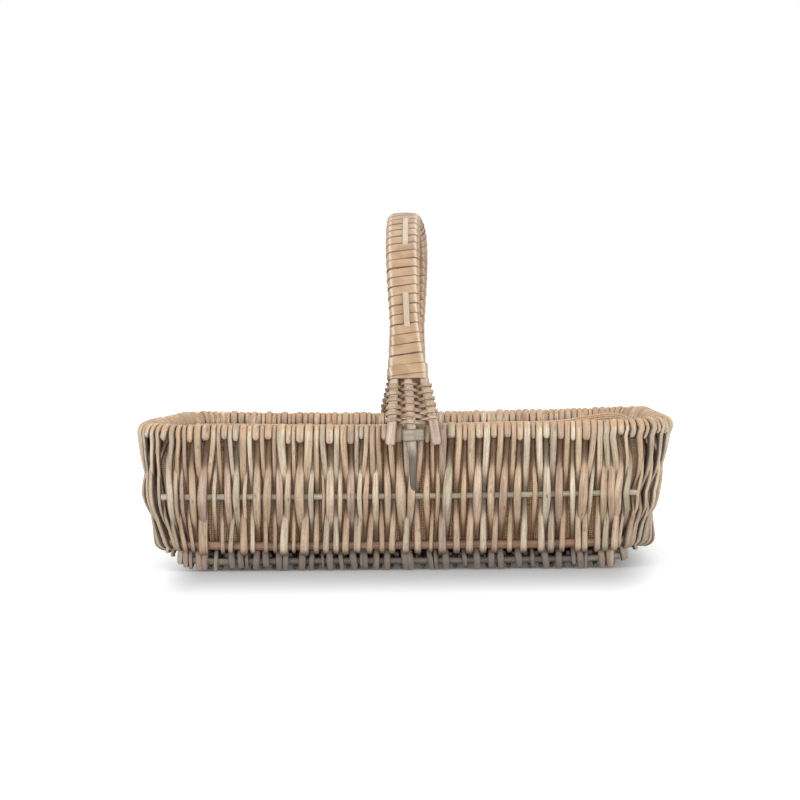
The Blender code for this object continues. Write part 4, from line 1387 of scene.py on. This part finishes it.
floor_mesh = bpy.data.meshes.new("studio_floor")
corners = [(x * FLOOR_HALF, y * FLOOR_HALF, FLOOR_HEIGHT) for x, y in ((-1, -1), (1, -1), (1, 1), (-1, 1))]
floor_mesh.from_pydata(corners, [], [(0, 1, 2, 3)])
floor = linked("studio_floor", floor_mesh)
paper, tree, shader = new_material("white_paper")
tree.nodes.remove(shader)
spot = parts_of(tree, node(tree, "ShaderNodeTexCoord").outputs["Object"])
# Painted shadow: how far a point lies past the footprint, stretched so that the shadow is short at the ends.
beyond = []
for axis, way, stretch in ((0, -1, 4.5), (0, 1, 3.6), (1, -1, 1.0), (1, 1, 1.0)):
    past = math_node(tree, "MULTIPLY_ADD", spot[axis], way * stretch, -FOOTPRINT[axis] * stretch)
    beyond.append(math_node(tree, "MAXIMUM", past, 0.0))
across = math_node(tree, "ADD", beyond[0], beyond[1])
back = math_node(tree, "ADD", beyond[2], beyond[3])
away = vector_node(tree, "LENGTH", {0: vector_of(tree, across, back)}, "Value")
# Painted shadow: the glow is low beside the basket and rises away from it.
glow_round_painted_shadow = math_node(tree, "ADD", times(tree, band(tree, away, 0.03, 0.24), 0.55), 0.09)
glow = math_node(tree, "MULTIPLY_ADD", band(tree, away, 0.20, 1.2), 0.36, glow_round_painted_shadow)
glow = times(tree, seen_directly(tree), glow)
lit = flow(tree, "ShaderNodeEmission", {"Color": (1, 1, 1, 1), "Strength": glow})
matt = flow(tree, "ShaderNodeBsdfDiffuse", {"Color": (0.58, 0.59, 0.60, 1)})
both = flow(tree, "ShaderNodeAddShader", {0: lit, 1: matt})
tree.links.new(both, tree.nodes["Material Output"].inputs["Surface"])
floor_mesh.materials.append(paper)

world = bpy.data.worlds.new("studio")
bpy.context.scene.world = world
world.use_nodes = True
tree = world.node_tree
background = tree.nodes["Background"]
background.inputs["Color"].default_value = (1, 1, 1, 1)
backdrop = math_node(tree, "MULTIPLY_ADD", seen_directly(tree), 0.45, 0.55)
tree.links.new(backdrop, background.inputs["Strength"])

for name, place, size, power in (
    ("lamp_overhead", (-0.1, 0.35, 1.9), 2.0, 11.0),
    ("lamp_front_left", (-1.7, -1.3, 0.7), 1.2, 16.0),
    ("lamp_front_right", (1.8, -1.2, 0.7), 1.2, 18.0),
    ("lamp_front", (0.1, -2.3, 0.35), 0.8, 10.2),
):
    lamp = bpy.data.lights.new(name, "AREA")
    lamp.size = size
    lamp.energy = power
    holder = linked(name, lamp)
    holder.location = place
    holder.rotation_euler = (LAMP_AIM - Vector(place)).to_track_quat("-Z", "Y").to_euler()

camera_data = bpy.data.cameras.new("camera")
camera_data.sensor_width = 36.0
camera_data.lens = CAMERA_LENS
camera = linked("camera", camera_data)
stand = Matrix.Translation((CAMERA_ASIDE, -0.15 - CAMERA_DISTANCE, CAMERA_HEIGHT))
aim = Matrix.Rotation(YAW_LEFT, 4, "Z") @ Matrix.Rotation(math.pi / 2 - PITCH_DOWN, 4, "X")
camera.matrix_world = stand @ aim @ Matrix.Rotation(ROLL, 4, "Z")
bpy.context.scene.camera = camera
bpy.context.scene.view_settings.view_transform = "Standard"
